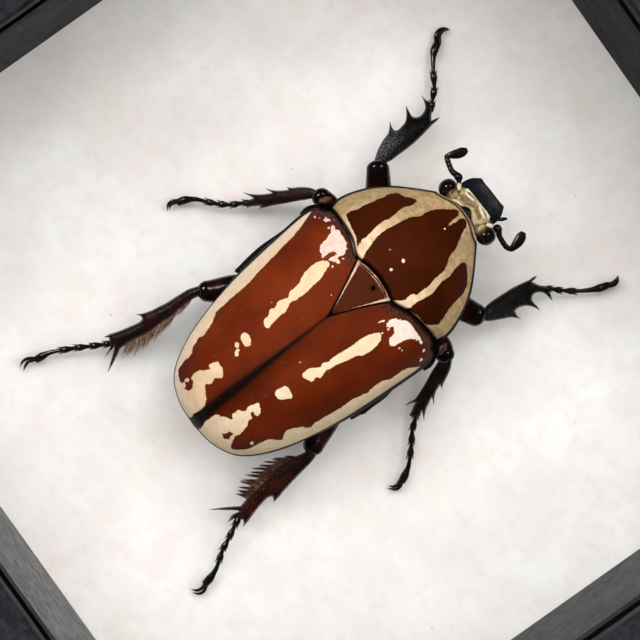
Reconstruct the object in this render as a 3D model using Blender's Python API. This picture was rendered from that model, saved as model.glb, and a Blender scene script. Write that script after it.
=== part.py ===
"""A giant flower beetle, a pinned female with spread legs, in a square shadow-box case that lies on its back.

Units in the constants are millimetres. The case stands centred on the origin, with its back on the level z = 0.
The beetle has a frame of its own: x to its right, y forwards, z up from the mounting paper.
"""

import math

import bmesh
import bpy
import numpy as np
from mathutils import Matrix, Vector

MM = 0.001
GAP = 0.3  # what two pieces that touch keep between them

# Case
OPENING = 127.0  # square of paper between the inner walls
WALL_THICK = 4.0
WALL_HEIGHT = 31.2  # above the paper
SLOT_HEIGHT = 3.0  # dark slot between a wall and the lip of the moulding
FACE_HEIGHT = 38.0  # front of the moulding above the paper
OUTER_SIDE = 152.0
EDGE_ROUND = 0.5
BOARD_BOTTOM, BOARD_TOP = 1.0, 4.1
PAPER_TOP = 5.0
PAPER_THICK = 0.6

# Pose of the beetle on the paper
SPECIMEN_SHIFT = (1.25, -1.3)
SPECIMEN_YAW = math.radians(3.0)
BODY_ROLL = math.radians(-3.0)
ROLL_HEIGHT = 12.0
PIN_RADIUS = 0.4
PIN_TOP = 4.0  # over the paper
PIN_PLACE = (0.9, 9.3)

# Back of the beetle, as y of a station and the value there
SUTURE_HALF_GAP = 0.15
SCUTELLUM_TIP_Y = 1.5
SCUTELLUM_CORNER = (4.4, 10.2)
ELYTRON_SIDE = ((13.9, 11.5), (15.4, 10.2), (15.9, 7.6), (15.6, 2.0), (15.0, -5.0), (13.7, -12.0),
                (11.7, -19.0), (8.7, -24.2), (4.6, -26.5), (SUTURE_HALF_GAP, -27.1))
ELYTRON_TOP = ((-27.1, 11.6), (-26.3, 15.0), (-24.5, 17.9), (-20.0, 21.3), (-13.0, 23.6), (-5.0, 24.6),
               (3.0, 24.5), (12.0, 23.4))
ELYTRON_EDGE = ((-27.1, 11.4), (-20.0, 11.0), (-8.0, 11.6), (4.0, 12.4), (12.0, 12.8))
ELYTRON_THICK = 0.9
ELYTRON_POWERS = (2.5, 0.52)
BUMPS = ((11.4, 6.6, 0.5, 2.1, 2.8), (8.0, -19.5, 0.5, 2.2, 2.4))  # x, y, height and two widths
SUTURE_RIDGE, SUTURE_DIP = 0.22, 0.28

PRONOTUM_SIDE = ((14.0, 12.4), (14.2, 14.4), (13.5, 17.0), (12.2, 19.9), (10.4, 22.4), (8.0, 24.9),
                 (5.4, 27.3))
PRONOTUM_TOP = ((12.0, 23.3), (17.0, 22.4), (22.0, 20.2), (26.0, 17.6), (28.6, 15.4))
PRONOTUM_EDGE = ((12.0, 13.4), (20.0, 12.8), (28.6, 12.2))
PRONOTUM_UNDER = ((12.0, 5.6), (17.0, 5.4), (22.0, 6.4), (28.6, 8.4))
PRONOTUM_POWERS = (2.3, 0.66)
HIND_LINE = ((0.0, 11.3), (2.6, 11.0), (4.4, 10.5), (7.5, 11.7), (11.0, 12.2), (14.0, 12.3))
FRONT_LINE = ((0.0, 28.6), (1.9, 28.4), (4.2, 27.5), (5.4, 27.2))

# Underside of the trunk behind the pronotum
TRUNK_FRONT_Y = 11.0
TRUNK_SPLIT_Y = -6.5
TRUNK_REAR_Y = -24.2
TRUNK_SIDE = ((-25.2, 4.4), (-23.5, 8.0), (-20.0, 10.6), (-14.0, 12.9), (-6.8, 14.2), (-6.2, 15.1),
              (-2.0, 15.9), (2.5, 15.5), (8.0, 14.9), (12.0, 13.6))
EPIMERON_PLAN = ((14.55, 12.05), (14.75, 13.4), (15.5, 12.8), (15.95, 11.3), (15.25, 11.2))
EPIMERON_HEIGHTS = (11.4, 15.2)
EPIMERON_ROUND = 0.25
PYGIDIUM_HALF, PYGIDIUM_TOP, PYGIDIUM_DROP = 4.6, 10.9, 3.0  # half width, height and fall of the plate
PYGIDIUM_Y, PYGIDIUM_BULGE, PYGIDIUM_THICK = -25.4, 0.5, 0.6
TRUNK_UNDER = ((-25.2, 9.6), (-23.5, 7.8), (-20.0, 5.9), (-14.0, 4.9), (-6.5, 4.4), (0.0, 4.0),
               (5.0, 4.0), (12.0, 5.4))
UNDER_POWERS = (1.5, 0.9)
STERNITE_EDGES = (-9.6, -12.6, -15.6, -18.6, -21.4)
STERNITE_GROOVE = 0.35

# Head, which sits a little to the right of the middle line
HEAD_SHIFT = 0.4
HEAD_SIDE = ((4.6, 27.9), (4.7, 29.4), (4.2, 30.8), (4.05, 31.6))
HEAD_TOP = ((27.0, 15.0), (29.5, 14.2), (32.5, 12.2))
HEAD_EDGE = ((27.0, 12.2), (32.5, 10.2))
HEAD_UNDER = ((27.0, 8.6), (32.5, 8.8))
HEAD_POWERS = (2.6, 0.75)
CLYPEUS_SIDE = ((4.25, 31.9), (4.15, 32.7), (3.8, 33.5), (2.95, 34.6))
CLYPEUS_DROP = (12.5, 9.0)
CLYPEUS_THICK = 1.2
CLYPEUS_RIM = 0.5
EYE_PLACE = (4.95, 29.1, 12.4)
EYE_RADII = (1.5, 1.6, 1.6)
# Root on the head, knob of the scape, thread, and the club's root and tip
ANTENNA_POINTS = {
    "left": ((-4.1, 31.1, 10.6), (-5.0, 31.7, 10.4), (-6.4, 31.5, 10.3), (-8.4, 32.1, 10.2),
             (-8.9, 32.6, 10.2), (-7.6, 35.6, 10.2)),
    "right": ((4.9, 31.1, 10.4), (5.6, 31.5, 10.2), (6.7, 31.0, 10.0), (8.8, 30.8, 9.8), (9.5, 31.3, 9.8),
              (8.6, 34.5, 9.8)),
}
PALP_ROOT, PALP_BEND, PALP_TIP = (2.6, 31.4, 9.3), (4.3, 32.6, 8.5), (5.2, 33.9, 8.2)

# Legs: the path of a femur from inside the body to the knee, the ankle, the path of a foot and of its claws
FEMUR_PATHS = {
    "front_left": ((-4.0, 15.0, 7.8), (-6.4, 16.8, 5.4), (-10.2, 19.6, 6.2), (-14.0, 22.3, 8.4)),
    "front_right": ((4.0, 15.0, 7.8), (6.4, 16.4, 5.4), (10.4, 18.3, 6.2), (14.7, 20.2, 8.4)),
    "mid_left": ((-3.5, 3.2, 6.8), (-6.0, 5.4, 4.6), (-11.0, 10.4, 5.6), (-14.0, 12.4, 7.4),
                 (-16.2, 12.2, 8.3)),
    "mid_right": ((3.5, 3.2, 6.8), (6.0, 5.4, 4.6), (11.0, 10.4, 5.6), (14.4, 12.6, 7.4),
                  (16.6, 12.2, 8.3)),
    "hind_left": ((-3.0, -2.2, 6.8), (-6.5, -3.4, 4.9), (-11.6, -6.4, 5.6), (-15.7, -12.0, 7.8)),
    "hind_right": ((3.0, -2.2, 6.8), (6.5, -3.6, 4.9), (11.4, -7.4, 5.6), (15.0, -14.0, 7.8)),
}
FEMUR_WIDTHS = {"front": (3.2, 2.8, 3.7, 3.1), "mid": (3.4, 2.6, 3.6, 2.8), "hind": (3.8, 3.2, 4.6, 3.4)}
FEMUR_HEIGHTS = {"front": (3.0, 2.4, 2.8, 2.6), "mid": (3.0, 2.2, 2.5, 2.4), "hind": (3.2, 2.4, 2.8, 2.6)}
KNEES = {
    "front_left": (-14.2, 23.1, 8.4),
    "front_right": (15.1, 20.7, 8.4),
    "mid_left": (-17.0, 11.7, 8.2),
    "mid_right": (17.2, 11.7, 8.2),
    "hind_left": (-16.5, -13.1, 7.8),
    "hind_right": (15.6, -14.9, 7.8),
}
ANKLES = {
    "front_left": (-16.1, 35.3, 3.6),
    "front_right": (18.3, 32.3, 3.6),
    "mid_left": (-22.4, 3.3, 3.4),
    "mid_right": (21.6, 2.6, 3.4),
    "hind_left": (-18.8, -29.6, 3.4),
    "hind_right": (17.4, -31.6, 3.4),
}
FOOT_PATHS = {
    "front_left": ((-17.5, 37.1, 2.8), (-18.9, 38.4, 2.3), (-21.1, 39.9, 1.8), (-24.4, 43.2, 1.5)),
    "front_right": ((19.6, 33.3, 2.8), (21.2, 34.9, 2.3), (22.9, 36.9, 1.8), (24.6, 40.6, 1.5)),
    "mid_left": ((-23.3, 1.4, 2.8), (-24.6, -0.4, 2.2), (-27.0, -2.5, 1.8), (-30.2, -6.2, 1.4)),
    "mid_right": ((22.8, 1.2, 2.8), (24.0, 0.0, 2.2), (26.2, -2.1, 1.8), (28.6, -5.6, 1.4)),
    "hind_left": ((-19.9, -32.2, 2.8), (-21.2, -34.3, 2.2), (-22.9, -37.3, 1.8), (-24.6, -41.6, 1.4)),
    "hind_right": ((17.8, -33.4, 2.8), (18.7, -35.2, 2.2), (20.7, -38.4, 1.8), (22.2, -42.3, 1.4)),
}
CLAW_PATHS = {
    "front_left": ((-24.4, 43.2, 1.5), (-26.0, 44.6, 1.6), (-25.2, 46.5, 0.9)),
    "front_right": ((24.6, 40.6, 1.5), (25.7, 42.4, 1.6), (24.8, 43.6, 0.9)),
    "mid_left": ((-30.2, -6.2, 1.4), (-31.4, -8.2, 1.4), (-30.5, -9.6, 0.8)),
    "mid_right": ((28.6, -5.6, 1.4), (29.9, -7.6, 1.4), (28.9, -9.4, 0.8)),
    "hind_left": ((-24.6, -41.6, 1.4), (-25.6, -43.2, 1.4), (-25.0, -44.6, 0.8)),
    "hind_right": ((22.2, -42.3, 1.4), (23.2, -44.2, 1.4), (22.1, -45.5, 0.8)),
}
CLAW_SPREAD = 0.45
# Outline of a tibia: along it from the knee, then the outer and the inner side across it
TIBIA_OUTLINES = {
    "front": ((0.0, 0.9, -0.5), (2.0, 2.0, -0.9), (4.6, 2.3, -1.35), (6.4, 1.9, -1.75), (8.2, 1.7, -1.9),
              (9.8, 1.1, -1.9), (11.2, 0.7, -1.4), (12.2, 0.6, -0.9)),
    "mid": ((0.0, 0.9, -0.5), (2.0, 1.5, -0.75), (4.4, 1.35, -0.95), (7.0, 1.15, -1.05), (8.8, 1.0, -1.1),
            (10.0, 0.7, -0.8)),
    "hind": ((0.0, 0.6, -0.5), (2.2, 1.35, -1.1), (5.2, 1.3, -1.55), (8.0, 1.2, -1.6), (9.7, 1.25, -1.6),
             (11.2, 0.7, -1.6), (13.7, 0.85, -1.45), (15.6, 1.1, -1.3), (16.6, 0.9, -0.9)),
}
TIBIA_HEIGHTS = {"front": 1.7, "mid": 1.6, "hind": 1.8}
# Teeth and spurs of a tibia: root and tip as (along, across), then the radius of the root
TIBIA_TEETH = {
    "front_left": (((4.7, 1.2), (6.3, 3.8), 0.75), ((8.3, 0.9), (10.2, 3.6), 0.8), ((11.2, 0.2),
                   (13.4, 3.0), 0.75), ((10.8, -0.9), (12.7, -1.9), 0.45)),
    "front_right": (((4.7, 1.0), (6.1, 3.2), 0.75), ((8.1, 0.8), (9.6, 3.2), 0.8), ((10.7, 0.2),
                    (12.3, 2.7), 0.7), ((9.9, -1.0), (11.5, -2.3), 0.45)),
    "mid_left": (((3.4, 0.9), (4.6, 2.0), 0.5), ((6.9, 0.6), (8.2, 2.1), 0.5), ((9.0, 0.3),
                 (12.0, 1.8), 0.55), ((8.2, -0.6), (9.7, -1.6), 0.45), ((9.4, -0.4), (11.7, -1.1), 0.4)),
    "mid_right": (((3.6, 0.9), (4.8, 2.0), 0.5), ((6.4, 0.6), (7.7, 2.0), 0.5), ((9.0, 0.3),
                  (11.1, 1.9), 0.55), ((8.4, -0.6), (9.9, -2.2), 0.45), ((9.4, -0.4), (10.9, -0.7), 0.4)),
    "hind_left": (((9.5, 0.5), (10.9, 2.1), 0.6), ((15.2, 0.5), (17.5, 1.6), 0.55), ((15.4, -0.7),
                  (20.1, -4.0), 0.55), ((15.9, -0.3), (19.3, -1.6), 0.5)),
    "hind_right": (((9.2, 0.5), (10.5, 2.1), 0.6), ((15.2, 0.5), (17.0, 1.5), 0.55), ((15.2, -0.7),
                   (19.1, -4.7), 0.55), ((15.9, -0.3), (18.4, -1.1), 0.5)),
}
FRINGE_COUNT = 12
FRINGE_ALONG = (3.4, 14.8)
FRINGE_REACH = 2.7
FRINGE_SEED = 7


def graph(stations):
    """A smooth function through the stations that doesn't overshoot them."""
    xs, ys = np.array(sorted(stations), float).T
    step = np.diff(ys) / np.diff(xs)
    slope = np.concatenate([step[:1], (step[1:] + step[:-1]) / 2, step[-1:]])
    turning = np.concatenate([[False], step[1:] * step[:-1] <= 0, [False]])
    slope[turning] = 0

    def value(x):
        x = np.clip(x, xs[0], xs[-1])
        k = np.clip(np.searchsorted(xs, x) - 1, 0, len(xs) - 2)
        width = xs[k + 1] - xs[k]
        t = (x - xs[k]) / width
        rise = (3 * t**2 - 2 * t**3) * (ys[k + 1] - ys[k])
        return ys[k] + rise + width * (t * (1 - t) ** 2 * slope[k] - t**2 * (1 - t) * slope[k + 1])

    return value


def curve_points(points, count):
    """Points evenly spaced along a Catmull-Rom curve through the given points."""
    knots = np.array(points, float)
    ends = np.vstack([2 * knots[0] - knots[1], knots, 2 * knots[-1] - knots[-2]])
    t = np.linspace(0, 1, 12, endpoint=False)[:, None]
    pieces = [
        0.5 * (2 * b + (c - a) * t + (2 * a - 5 * b + 4 * c - d) * t**2 + (3 * b - a - 3 * c + d) * t**3)
        for a, b, c, d in zip(ends, ends[1:], ends[2:], ends[3:])
    ]
    dense = np.vstack(pieces + [knots[-1:]])
    run = np.concatenate([[0], np.cumsum(np.linalg.norm(np.diff(dense, axis=0), axis=1))])
    at = np.linspace(0, run[-1], count)
    return np.stack([np.interp(at, run, column) for column in dense.T], axis=1)


def dome(ratio, powers):
    """Height of an arched cross-section, 1 in the middle and 0 at its side."""
    return (1 - np.clip(np.abs(ratio), 0, 1) ** powers[0]) ** powers[1]


def half_width_graph(outline):
    side = curve_points(outline, 60)
    ascending = side[np.argsort(side[:, 1])]
    return lambda y: np.interp(y, ascending[:, 1], ascending[:, 0])


elytron_half_width = half_width_graph(ELYTRON_SIDE)
elytron_top = graph(ELYTRON_TOP)
elytron_edge = graph(ELYTRON_EDGE)
pronotum_top = graph(PRONOTUM_TOP)
pronotum_edge = graph(PRONOTUM_EDGE)
pronotum_under = graph(PRONOTUM_UNDER)
hind_line = graph(HIND_LINE)
front_line = graph(FRONT_LINE)
trunk_side = graph(TRUNK_SIDE)
trunk_under = graph(TRUNK_UNDER)


def back_height(x, y):
    """Height of the closed wing cases and the scutellum."""
    edge = elytron_edge(y)
    z = edge + (elytron_top(y) - edge) * dome(x / np.maximum(elytron_half_width(y), 0.1), ELYTRON_POWERS)
    for at_x, at_y, height, wide, long in BUMPS:
        z = z + height * np.exp(-(((np.abs(x) - at_x) / wide) ** 2) - ((y - at_y) / long) ** 2)
    behind = 1 / (1 + np.exp(y + 4))
    ridge = SUTURE_RIDGE * np.exp(-((x / 0.9) ** 2)) - SUTURE_DIP * np.exp(-(((np.abs(x) - 2.6) / 1.2) ** 2))
    return z + behind * ridge * np.clip((y + 26) / 6, 0, 1)


def new_object(name, verts, faces, turn=None):
    """A mesh object from points in millimetres, with its faces turned outwards."""
    mesh = bpy.data.meshes.new(name)
    build = bmesh.new()
    corners = [build.verts.new(Vector(point) * MM) for point in np.asarray(verts, float)]
    for face in faces:
        build.faces.new([corners[k] for k in face])
    bmesh.ops.remove_doubles(build, verts=build.verts, dist=1e-7)
    bmesh.ops.dissolve_degenerate(build, edges=build.edges, dist=1e-7)
    bmesh.ops.recalc_face_normals(build, faces=build.faces)
    if build.calc_volume(signed=True) < 0:
        bmesh.ops.reverse_faces(build, faces=build.faces)
    if turn is not None:
        bmesh.ops.transform(build, matrix=turn, verts=build.verts)
    build.to_mesh(mesh)
    build.free()
    made = bpy.data.objects.new(name, mesh)
    bpy.context.scene.collection.objects.link(made)
    return made


def roll_matrix():
    """The slight lean of the body to its left, about a line over the middle of the paper."""
    pivot = Vector((0, 0, ROLL_HEIGHT * MM))
    return Matrix.Translation(pivot) @ Matrix.Rotation(BODY_ROLL, 4, "Y") @ Matrix.Translation(-pivot)


def slab(name, top, bottom, turn=None):
    """A closed piece between two grids of points that have the same rows and columns."""
    rows, columns = top.shape[:2]
    count = rows * columns
    faces = []
    for i in range(rows - 1):
        for j in range(columns - 1):
            k = i * columns + j
            faces.append((k, k + 1, k + columns + 1, k + columns))
            faces.append((count + k, count + k + columns, count + k + columns + 1, count + k + 1))
    rim = [j for j in range(columns)] + [i * columns + columns - 1 for i in range(1, rows)]
    rim += [(rows - 1) * columns + j for j in range(columns - 2, -1, -1)] + [i * columns for i in range(rows - 2, 0, -1)]
    for a, b in zip(rim, rim[1:] + rim[:1]):
        faces.append((a, count + a, count + b, b))
    return new_object(name, np.concatenate([top.reshape(-1, 3), bottom.reshape(-1, 3)]), faces, turn)


def tube(name, path, widths, heights, sides=8, turn=None):
    """A closed limb along a path, with an oval section whose width lies level."""
    path = np.array(path, float)
    verts, faces = [], []
    for k, point in enumerate(path):
        along = path[min(k + 1, len(path) - 1)] - path[max(k - 1, 0)]
        along /= np.linalg.norm(along)
        side = np.cross(along, (0, 0, 1))
        side /= max(np.linalg.norm(side), 1e-6)
        top = np.cross(side, along)
        for n in range(sides):
            angle = 2 * math.pi * (n + 0.5) / sides
            verts.append(point + side * widths[k] / 2 * math.cos(angle) + top * heights[k] / 2 * math.sin(angle))
    for k in range(len(path) - 1):
        for n in range(sides):
            a, b = k * sides + n, k * sides + (n + 1) % sides
            faces.append((a, b, b + sides, a + sides))
    faces.append(tuple(range(sides)))
    faces.append(tuple(range((len(path) - 1) * sides, len(path) * sides)))
    return new_object(name, verts, faces, turn)


def ellipsoid(name, centre, radii, segments=14, rings=9, turn=None):
    verts, faces = [np.array(centre) + (0, 0, radii[2])], []
    for i in range(1, rings):
        polar = math.pi * i / rings
        for n in range(segments):
            angle = 2 * math.pi * n / segments
            ring = (math.sin(polar) * math.cos(angle), math.sin(polar) * math.sin(angle), math.cos(polar))
            verts.append(np.array(centre) + np.array(radii) * ring)
    verts.append(np.array(centre) - (0, 0, radii[2]))
    last = len(verts) - 1
    for n in range(segments):
        after = (n + 1) % segments
        faces.append((0, 1 + n, 1 + after))
        faces.append((last, last - segments + after, last - segments + n))
        for i in range(rings - 2):
            a, b = 1 + i * segments + n, 1 + i * segments + after
            faces.append((a, a + segments, b + segments, b))
    return new_object(name, verts, faces, turn)


def apply_boolean(target, others, operation):
    """Joins or cuts the target with the other closed meshes, removes them and keeps the largest surface."""
    group = bpy.data.collections.new("operands")
    bpy.context.scene.collection.children.link(group)
    for other in others:
        bpy.context.scene.collection.objects.unlink(other)
        group.objects.link(other)
    modifier = target.modifiers.new("join", "BOOLEAN")
    modifier.operation = operation
    modifier.operand_type = "COLLECTION"
    modifier.collection = group
    modifier.solver = "MANIFOLD" if operation == "UNION" else "EXACT"
    graph_now = bpy.context.evaluated_depsgraph_get()
    made = bpy.data.meshes.new_from_object(target.evaluated_get(graph_now))
    target.modifiers.remove(modifier)
    target.data = made
    for other in others:
        bpy.data.objects.remove(other)
    bpy.data.collections.remove(group)
    keep_largest(target)
    return target


def keep_largest(target):
    build = bmesh.new()
    build.from_mesh(target.data)
    left, shells = set(build.verts), []
    while left:
        shell, edge_of = set(), [left.pop()]
        while edge_of:
            vert = edge_of.pop()
            shell.add(vert)
            fresh = {edge.other_vert(vert) for edge in vert.link_edges} - shell
            edge_of += [v for v in fresh if v in left]
            left -= fresh
        shells.append(shell)
    size = {id(s): max(v.co.x for v in s) - min(v.co.x for v in s) + max(v.co.y for v in s) - min(v.co.y for v in s)
            for s in shells}
    largest = max(shells, key=lambda s: size[id(s)])
    spare = [v for shell in shells if shell is not largest for v in shell]
    bmesh.ops.delete(build, geom=spare, context="VERTS")
    build.to_mesh(target.data)
    build.free()


def finish(made, material, parent=None, smooth=35):
    """Gives a piece its own material, its shading and its parent."""
    made.data.materials.clear()
    made.data.materials.append(new_material(made.name, *material))
    made.data.shade_smooth()
    made.data.set_sharp_from_angle(angle=math.radians(smooth))
    made.parent = parent
    return made


def new_material(name, colour, roughness, metallic=0.0):
    material = bpy.data.materials.new(name)
    material.use_nodes = True
    surface = material.node_tree.nodes["Principled BSDF"]
    surface.inputs["Base Color"].default_value = (*colour, 1)
    surface.inputs["Roughness"].default_value = roughness
    surface.inputs["Metallic"].default_value = metallic
    return material


CASE_PAINT = ((0.03, 0.03, 0.033), 0.6)
WALL_STAIN = ((0.09, 0.09, 0.088), 0.7)
BOARD_BROWN = ((0.25, 0.18, 0.12), 0.85)
PAPER_WHITE = ((0.86, 0.84, 0.81), 0.9)
CUTICLE_RED = ((0.16, 0.022, 0.007), 0.2)
CUTICLE_DARK = ((0.06, 0.011, 0.005), 0.22)
CUTICLE_BLACK = ((0.006, 0.005, 0.005), 0.25)
CUTICLE_BROWN = ((0.045, 0.01, 0.006), 0.28)
CREAM = ((0.60, 0.47, 0.22), 0.45)
STEEL = ((0.35, 0.34, 0.33), 0.3, 1.0)


# Case


def box(name, low, high, rounding=0.0):
    low, high = np.array(low, float), np.array(high, float)
    corners = [(x, y, z) for x in (low[0], high[0]) for y in (low[1], high[1]) for z in (low[2], high[2])]
    faces = [(0, 1, 3, 2), (4, 6, 7, 5), (0, 4, 5, 1), (2, 3, 7, 6), (0, 2, 6, 4), (1, 5, 7, 3)]
    made = new_object(name, corners, faces)
    if rounding:
        add_bevel(made, rounding)
    return made


def add_bevel(made, width):
    bevel = made.modifiers.new("eased edges", "BEVEL")
    bevel.width = width * MM
    bevel.segments = 1
    bevel.limit_method = "ANGLE"


def mitred(name, section, inner, turn_degrees, rounding=0.0):
    """A length of the case with mitred ends: its section is (distance out from the inner face, height)."""
    verts, faces = [], []
    for end in (-1, 1):
        for out, height in section:
            reach = inner + out - GAP / 2 * math.sqrt(2)
            verts.append((inner + out, end * reach, height))
    count = len(section)
    for n in range(count):
        after = (n + 1) % count
        faces.append((n, after, count + after, count + n))
    faces.append(tuple(range(count)))
    faces.append(tuple(range(count, 2 * count)))
    made = new_object(name, verts, faces, Matrix.Rotation(math.radians(turn_degrees), 4, "Z"))
    if rounding:
        add_bevel(made, rounding)
    return made


def make_case():
    inner = OPENING / 2
    rail_inner = WALL_THICK + GAP
    outer = OUTER_SIDE / 2 - inner
    lip_under = PAPER_TOP + WALL_HEIGHT + SLOT_HEIGHT
    face = PAPER_TOP + FACE_HEIGHT
    rail = ((0, lip_under), (rail_inner, lip_under), (rail_inner, 0), (outer, 0), (outer, face), (0, face))
    foot, top = PAPER_TOP + GAP, PAPER_TOP + WALL_HEIGHT
    wall = ((0, foot), (WALL_THICK, foot), (WALL_THICK, top), (0, top))
    for side, degrees in (("right", 0), ("head", 90), ("left", 180), ("foot", 270)):
        finish(mitred("case_rail_" + side, rail, inner, degrees, EDGE_ROUND), CASE_PAINT)
        finish(mitred("case_wall_" + side, wall, inner, degrees), WALL_STAIN)
    board = inner + rail_inner - GAP
    finish(box("case_board", (-board, -board, BOARD_BOTTOM), (board, board, BOARD_TOP)), BOARD_BROWN)
    finish(box("case_paper", (-board, -board, PAPER_TOP - PAPER_THICK),
           (board, board, PAPER_TOP)), PAPER_WHITE)


# Body


def make_elytron(side, parent):
    """One wing case: rows run from its inner side, along the scutellum and the suture, to its outer side."""
    rows, columns = 19, 11
    outer = curve_points(ELYTRON_SIDE, rows)
    inner_path = curve_points((SCUTELLUM_CORNER, (2.2, 5.9),
                              (SUTURE_HALF_GAP + 0.1, SCUTELLUM_TIP_Y - 0.5)), 8)
    inner_path = np.vstack([inner_path, [(SUTURE_HALF_GAP, y) for y in np.linspace(0.5, -26.9, 24)]])
    run = np.concatenate([[0], np.cumsum(np.linalg.norm(np.diff(inner_path, axis=0), axis=1))])
    at = np.linspace(0, run[-1], rows)
    inner = np.stack([np.interp(at, run, inner_path[:, 0]), np.interp(at, run, inner_path[:, 1])], axis=1)
    across = np.sin(np.linspace(0, math.pi / 2, columns))
    top = np.zeros((rows, columns, 3))
    for i in range(rows):
        plan = inner[i] + (outer[i] - inner[i]) * across[:, None]
        fade = (1 - i / (rows - 1)) ** 8
        front = hind_line(plan[:, 0]) - GAP
        plan[:, 1] += fade * (front - plan[:, 1]) * np.clip((plan[:, 0] - 4.0) / 0.4, 0, 1)
        top[i, :, :2] = plan
        top[i, :, 2] = back_height(plan[:, 0], plan[:, 1])
        top[i, -1, 2] = elytron_edge(plan[-1, 1])
    ahead = np.gradient(top, axis=0)
    aside = np.gradient(top, axis=1)
    normal = np.cross(aside, ahead)
    normal /= np.maximum(np.linalg.norm(normal, axis=2, keepdims=True), 1e-9)
    normal *= np.sign(normal[:, :, 2:] + 1e-9)
    bottom = top - normal * ELYTRON_THICK
    bottom[:, 0, 0] = top[:, 0, 0]
    bottom[:, 0, 1] = top[:, 0, 1]
    bottom[0, :, 0:2] = top[0, :, 0:2]
    bottom[:, :, 0] = np.maximum(bottom[:, :, 0], SUTURE_HALF_GAP)
    sign = 1 if side == "right" else -1
    top[:, :, 0] *= sign
    bottom[:, :, 0] *= sign
    finish(slab("elytron_" + side, top, bottom, roll_matrix()), CUTICLE_RED, parent)


def make_scutellum(parent):
    """The triangle between the wing cases, with the hole that the pin left."""
    rows, columns = 7, 9
    top = np.zeros((rows, columns, 3))
    for i, t in enumerate(np.linspace(0, 1, rows)):
        half = (SCUTELLUM_CORNER[0] - GAP) * (1 - t) + 0.25 * t
        across = np.linspace(-half, half, columns)
        rear = SCUTELLUM_CORNER[1] + (SCUTELLUM_TIP_Y + 0.4 - SCUTELLUM_CORNER[1]) * t
        front = hind_line(np.abs(across)) - GAP
        y = rear + (front - SCUTELLUM_CORNER[1]) * (1 - t) ** 2
        top[i] = np.stack([across, y, back_height(across, y)], axis=1)
    bottom = top - (0, 0, ELYTRON_THICK)
    plate = slab("scutellum", top, bottom, roll_matrix())
    x, y = PIN_PLACE
    hole = tube("hole", [(x, y, 20), (x, y - 0.01, 26)], [0.9, 0.9], [0.9, 0.9], 8, roll_matrix())
    finish(apply_boolean(plate, [hole], "DIFFERENCE"), CUTICLE_DARK, parent)


def pronotum_grid(rows, columns, grow=0.0):
    """Upper and lower points of the first ring of the thorax, which may be grown all round."""
    side = curve_points(PRONOTUM_SIDE, rows)
    across = np.sin(np.linspace(-math.pi / 2, math.pi / 2, columns))
    top, bottom = np.zeros((rows, columns, 3)), np.zeros((rows, columns, 3))
    for i, (half, y_side) in enumerate(side):
        t = i / (rows - 1)
        x = across * half
        rear_bow = hind_line(np.abs(x)) - PRONOTUM_SIDE[0][1]
        front_bow = front_line(np.abs(x)) - PRONOTUM_SIDE[-1][1]
        y = y_side + rear_bow * (1 - t) ** 1.5 + front_bow * t**1.5
        edge = pronotum_edge(y)
        up = edge + (pronotum_top(y) - edge + grow) * dome(across, PRONOTUM_POWERS)
        down = edge - 0.7 - (edge - 0.7 - pronotum_under(y) + grow) * dome(across, UNDER_POWERS)
        x = across * (half + grow)
        y = y + grow * (2 * t - 1)
        top[i] = np.stack([x, y, up], axis=1)
        bottom[i] = np.stack([x, y, down], axis=1)
    return top, bottom


def make_pronotum(parent):
    top, bottom = pronotum_grid(11, 17)
    finish(slab("pronotum", top, bottom, roll_matrix()), CUTICLE_DARK, parent)


def trunk_grid(y_front, y_rear, rows, columns, front_bow, grow=0.0, groove=()):
    """Upper and lower points of a length of the trunk, whose back lies inside the wing cases."""
    clear = ELYTRON_THICK + GAP + 0.35 - grow
    across = np.sin(np.linspace(-math.pi / 2, math.pi / 2, columns))
    stations = np.linspace(y_front, y_rear, rows)
    if groove:
        marks = sorted({y_front, y_rear, *groove, *(g + 0.45 for g in groove), *(g - 0.45 for g in groove)})
        stations = np.array(marks[::-1])
    top, bottom = np.zeros((len(stations), columns, 3)), np.zeros((len(stations), columns, 3))
    for i, y_mid in enumerate(stations):
        outer_y = y_mid * 27.1 / (27.1 - clear) if y_mid < 0 else y_mid
        half = np.maximum(elytron_half_width(outer_y) - clear, 1.0)
        bow = (hind_line(np.abs(across) * half) - GAP - y_front) * front_bow * max(0, 1 - (y_front - y_mid) / 6)
        y = y_mid + bow + (grow if i == 0 else -grow if i == len(stations) - 1 else 0)
        edge = elytron_edge(y)
        up = edge - 0.4 + (elytron_top(outer_y) - clear - edge + 0.4) * dome(across, ELYTRON_POWERS)
        side = trunk_side(y_mid) + grow
        cut = STERNITE_GROOVE if y_mid in groove else 0
        low = trunk_under(y_mid) + cut - grow
        down = edge - 1.2 - (edge - 1.2 - low) * dome(across, UNDER_POWERS)
        top[i] = np.stack([across * half, y, up], axis=1)
        bottom[i] = np.stack([across * (side - cut), y, down], axis=1)
    return top, bottom


def make_trunk(parent):
    top, bottom = trunk_grid(TRUNK_FRONT_Y, TRUNK_SPLIT_Y + GAP / 2, 10, 17, 1.0)
    finish(slab("thorax", top, bottom, roll_matrix()), CUTICLE_BLACK, parent)
    top, bottom = trunk_grid(TRUNK_SPLIT_Y - GAP / 2, TRUNK_REAR_Y, 14, 17, 0.0, groove=STERNITE_EDGES)
    finish(slab("abdomen", top, bottom, roll_matrix()), CUTICLE_BLACK, parent)


def make_epimeron(side, parent):
    """The small side plate that shows in the corner between the pronotum and a wing case."""
    sign = 1 if side == "right" else -1
    verts = [(sign * x, y, z) for z in EPIMERON_HEIGHTS for x, y in EPIMERON_PLAN]
    count = len(EPIMERON_PLAN)
    faces = [(n, (n + 1) % count, count + (n + 1) % count, count + n) for n in range(count)]
    faces += [tuple(range(count)), tuple(range(count, 2 * count))]
    made = new_object("epimeron_" + side, verts, faces, roll_matrix())
    add_bevel(made, EPIMERON_ROUND)
    finish(made, CUTICLE_BROWN, parent)


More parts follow.
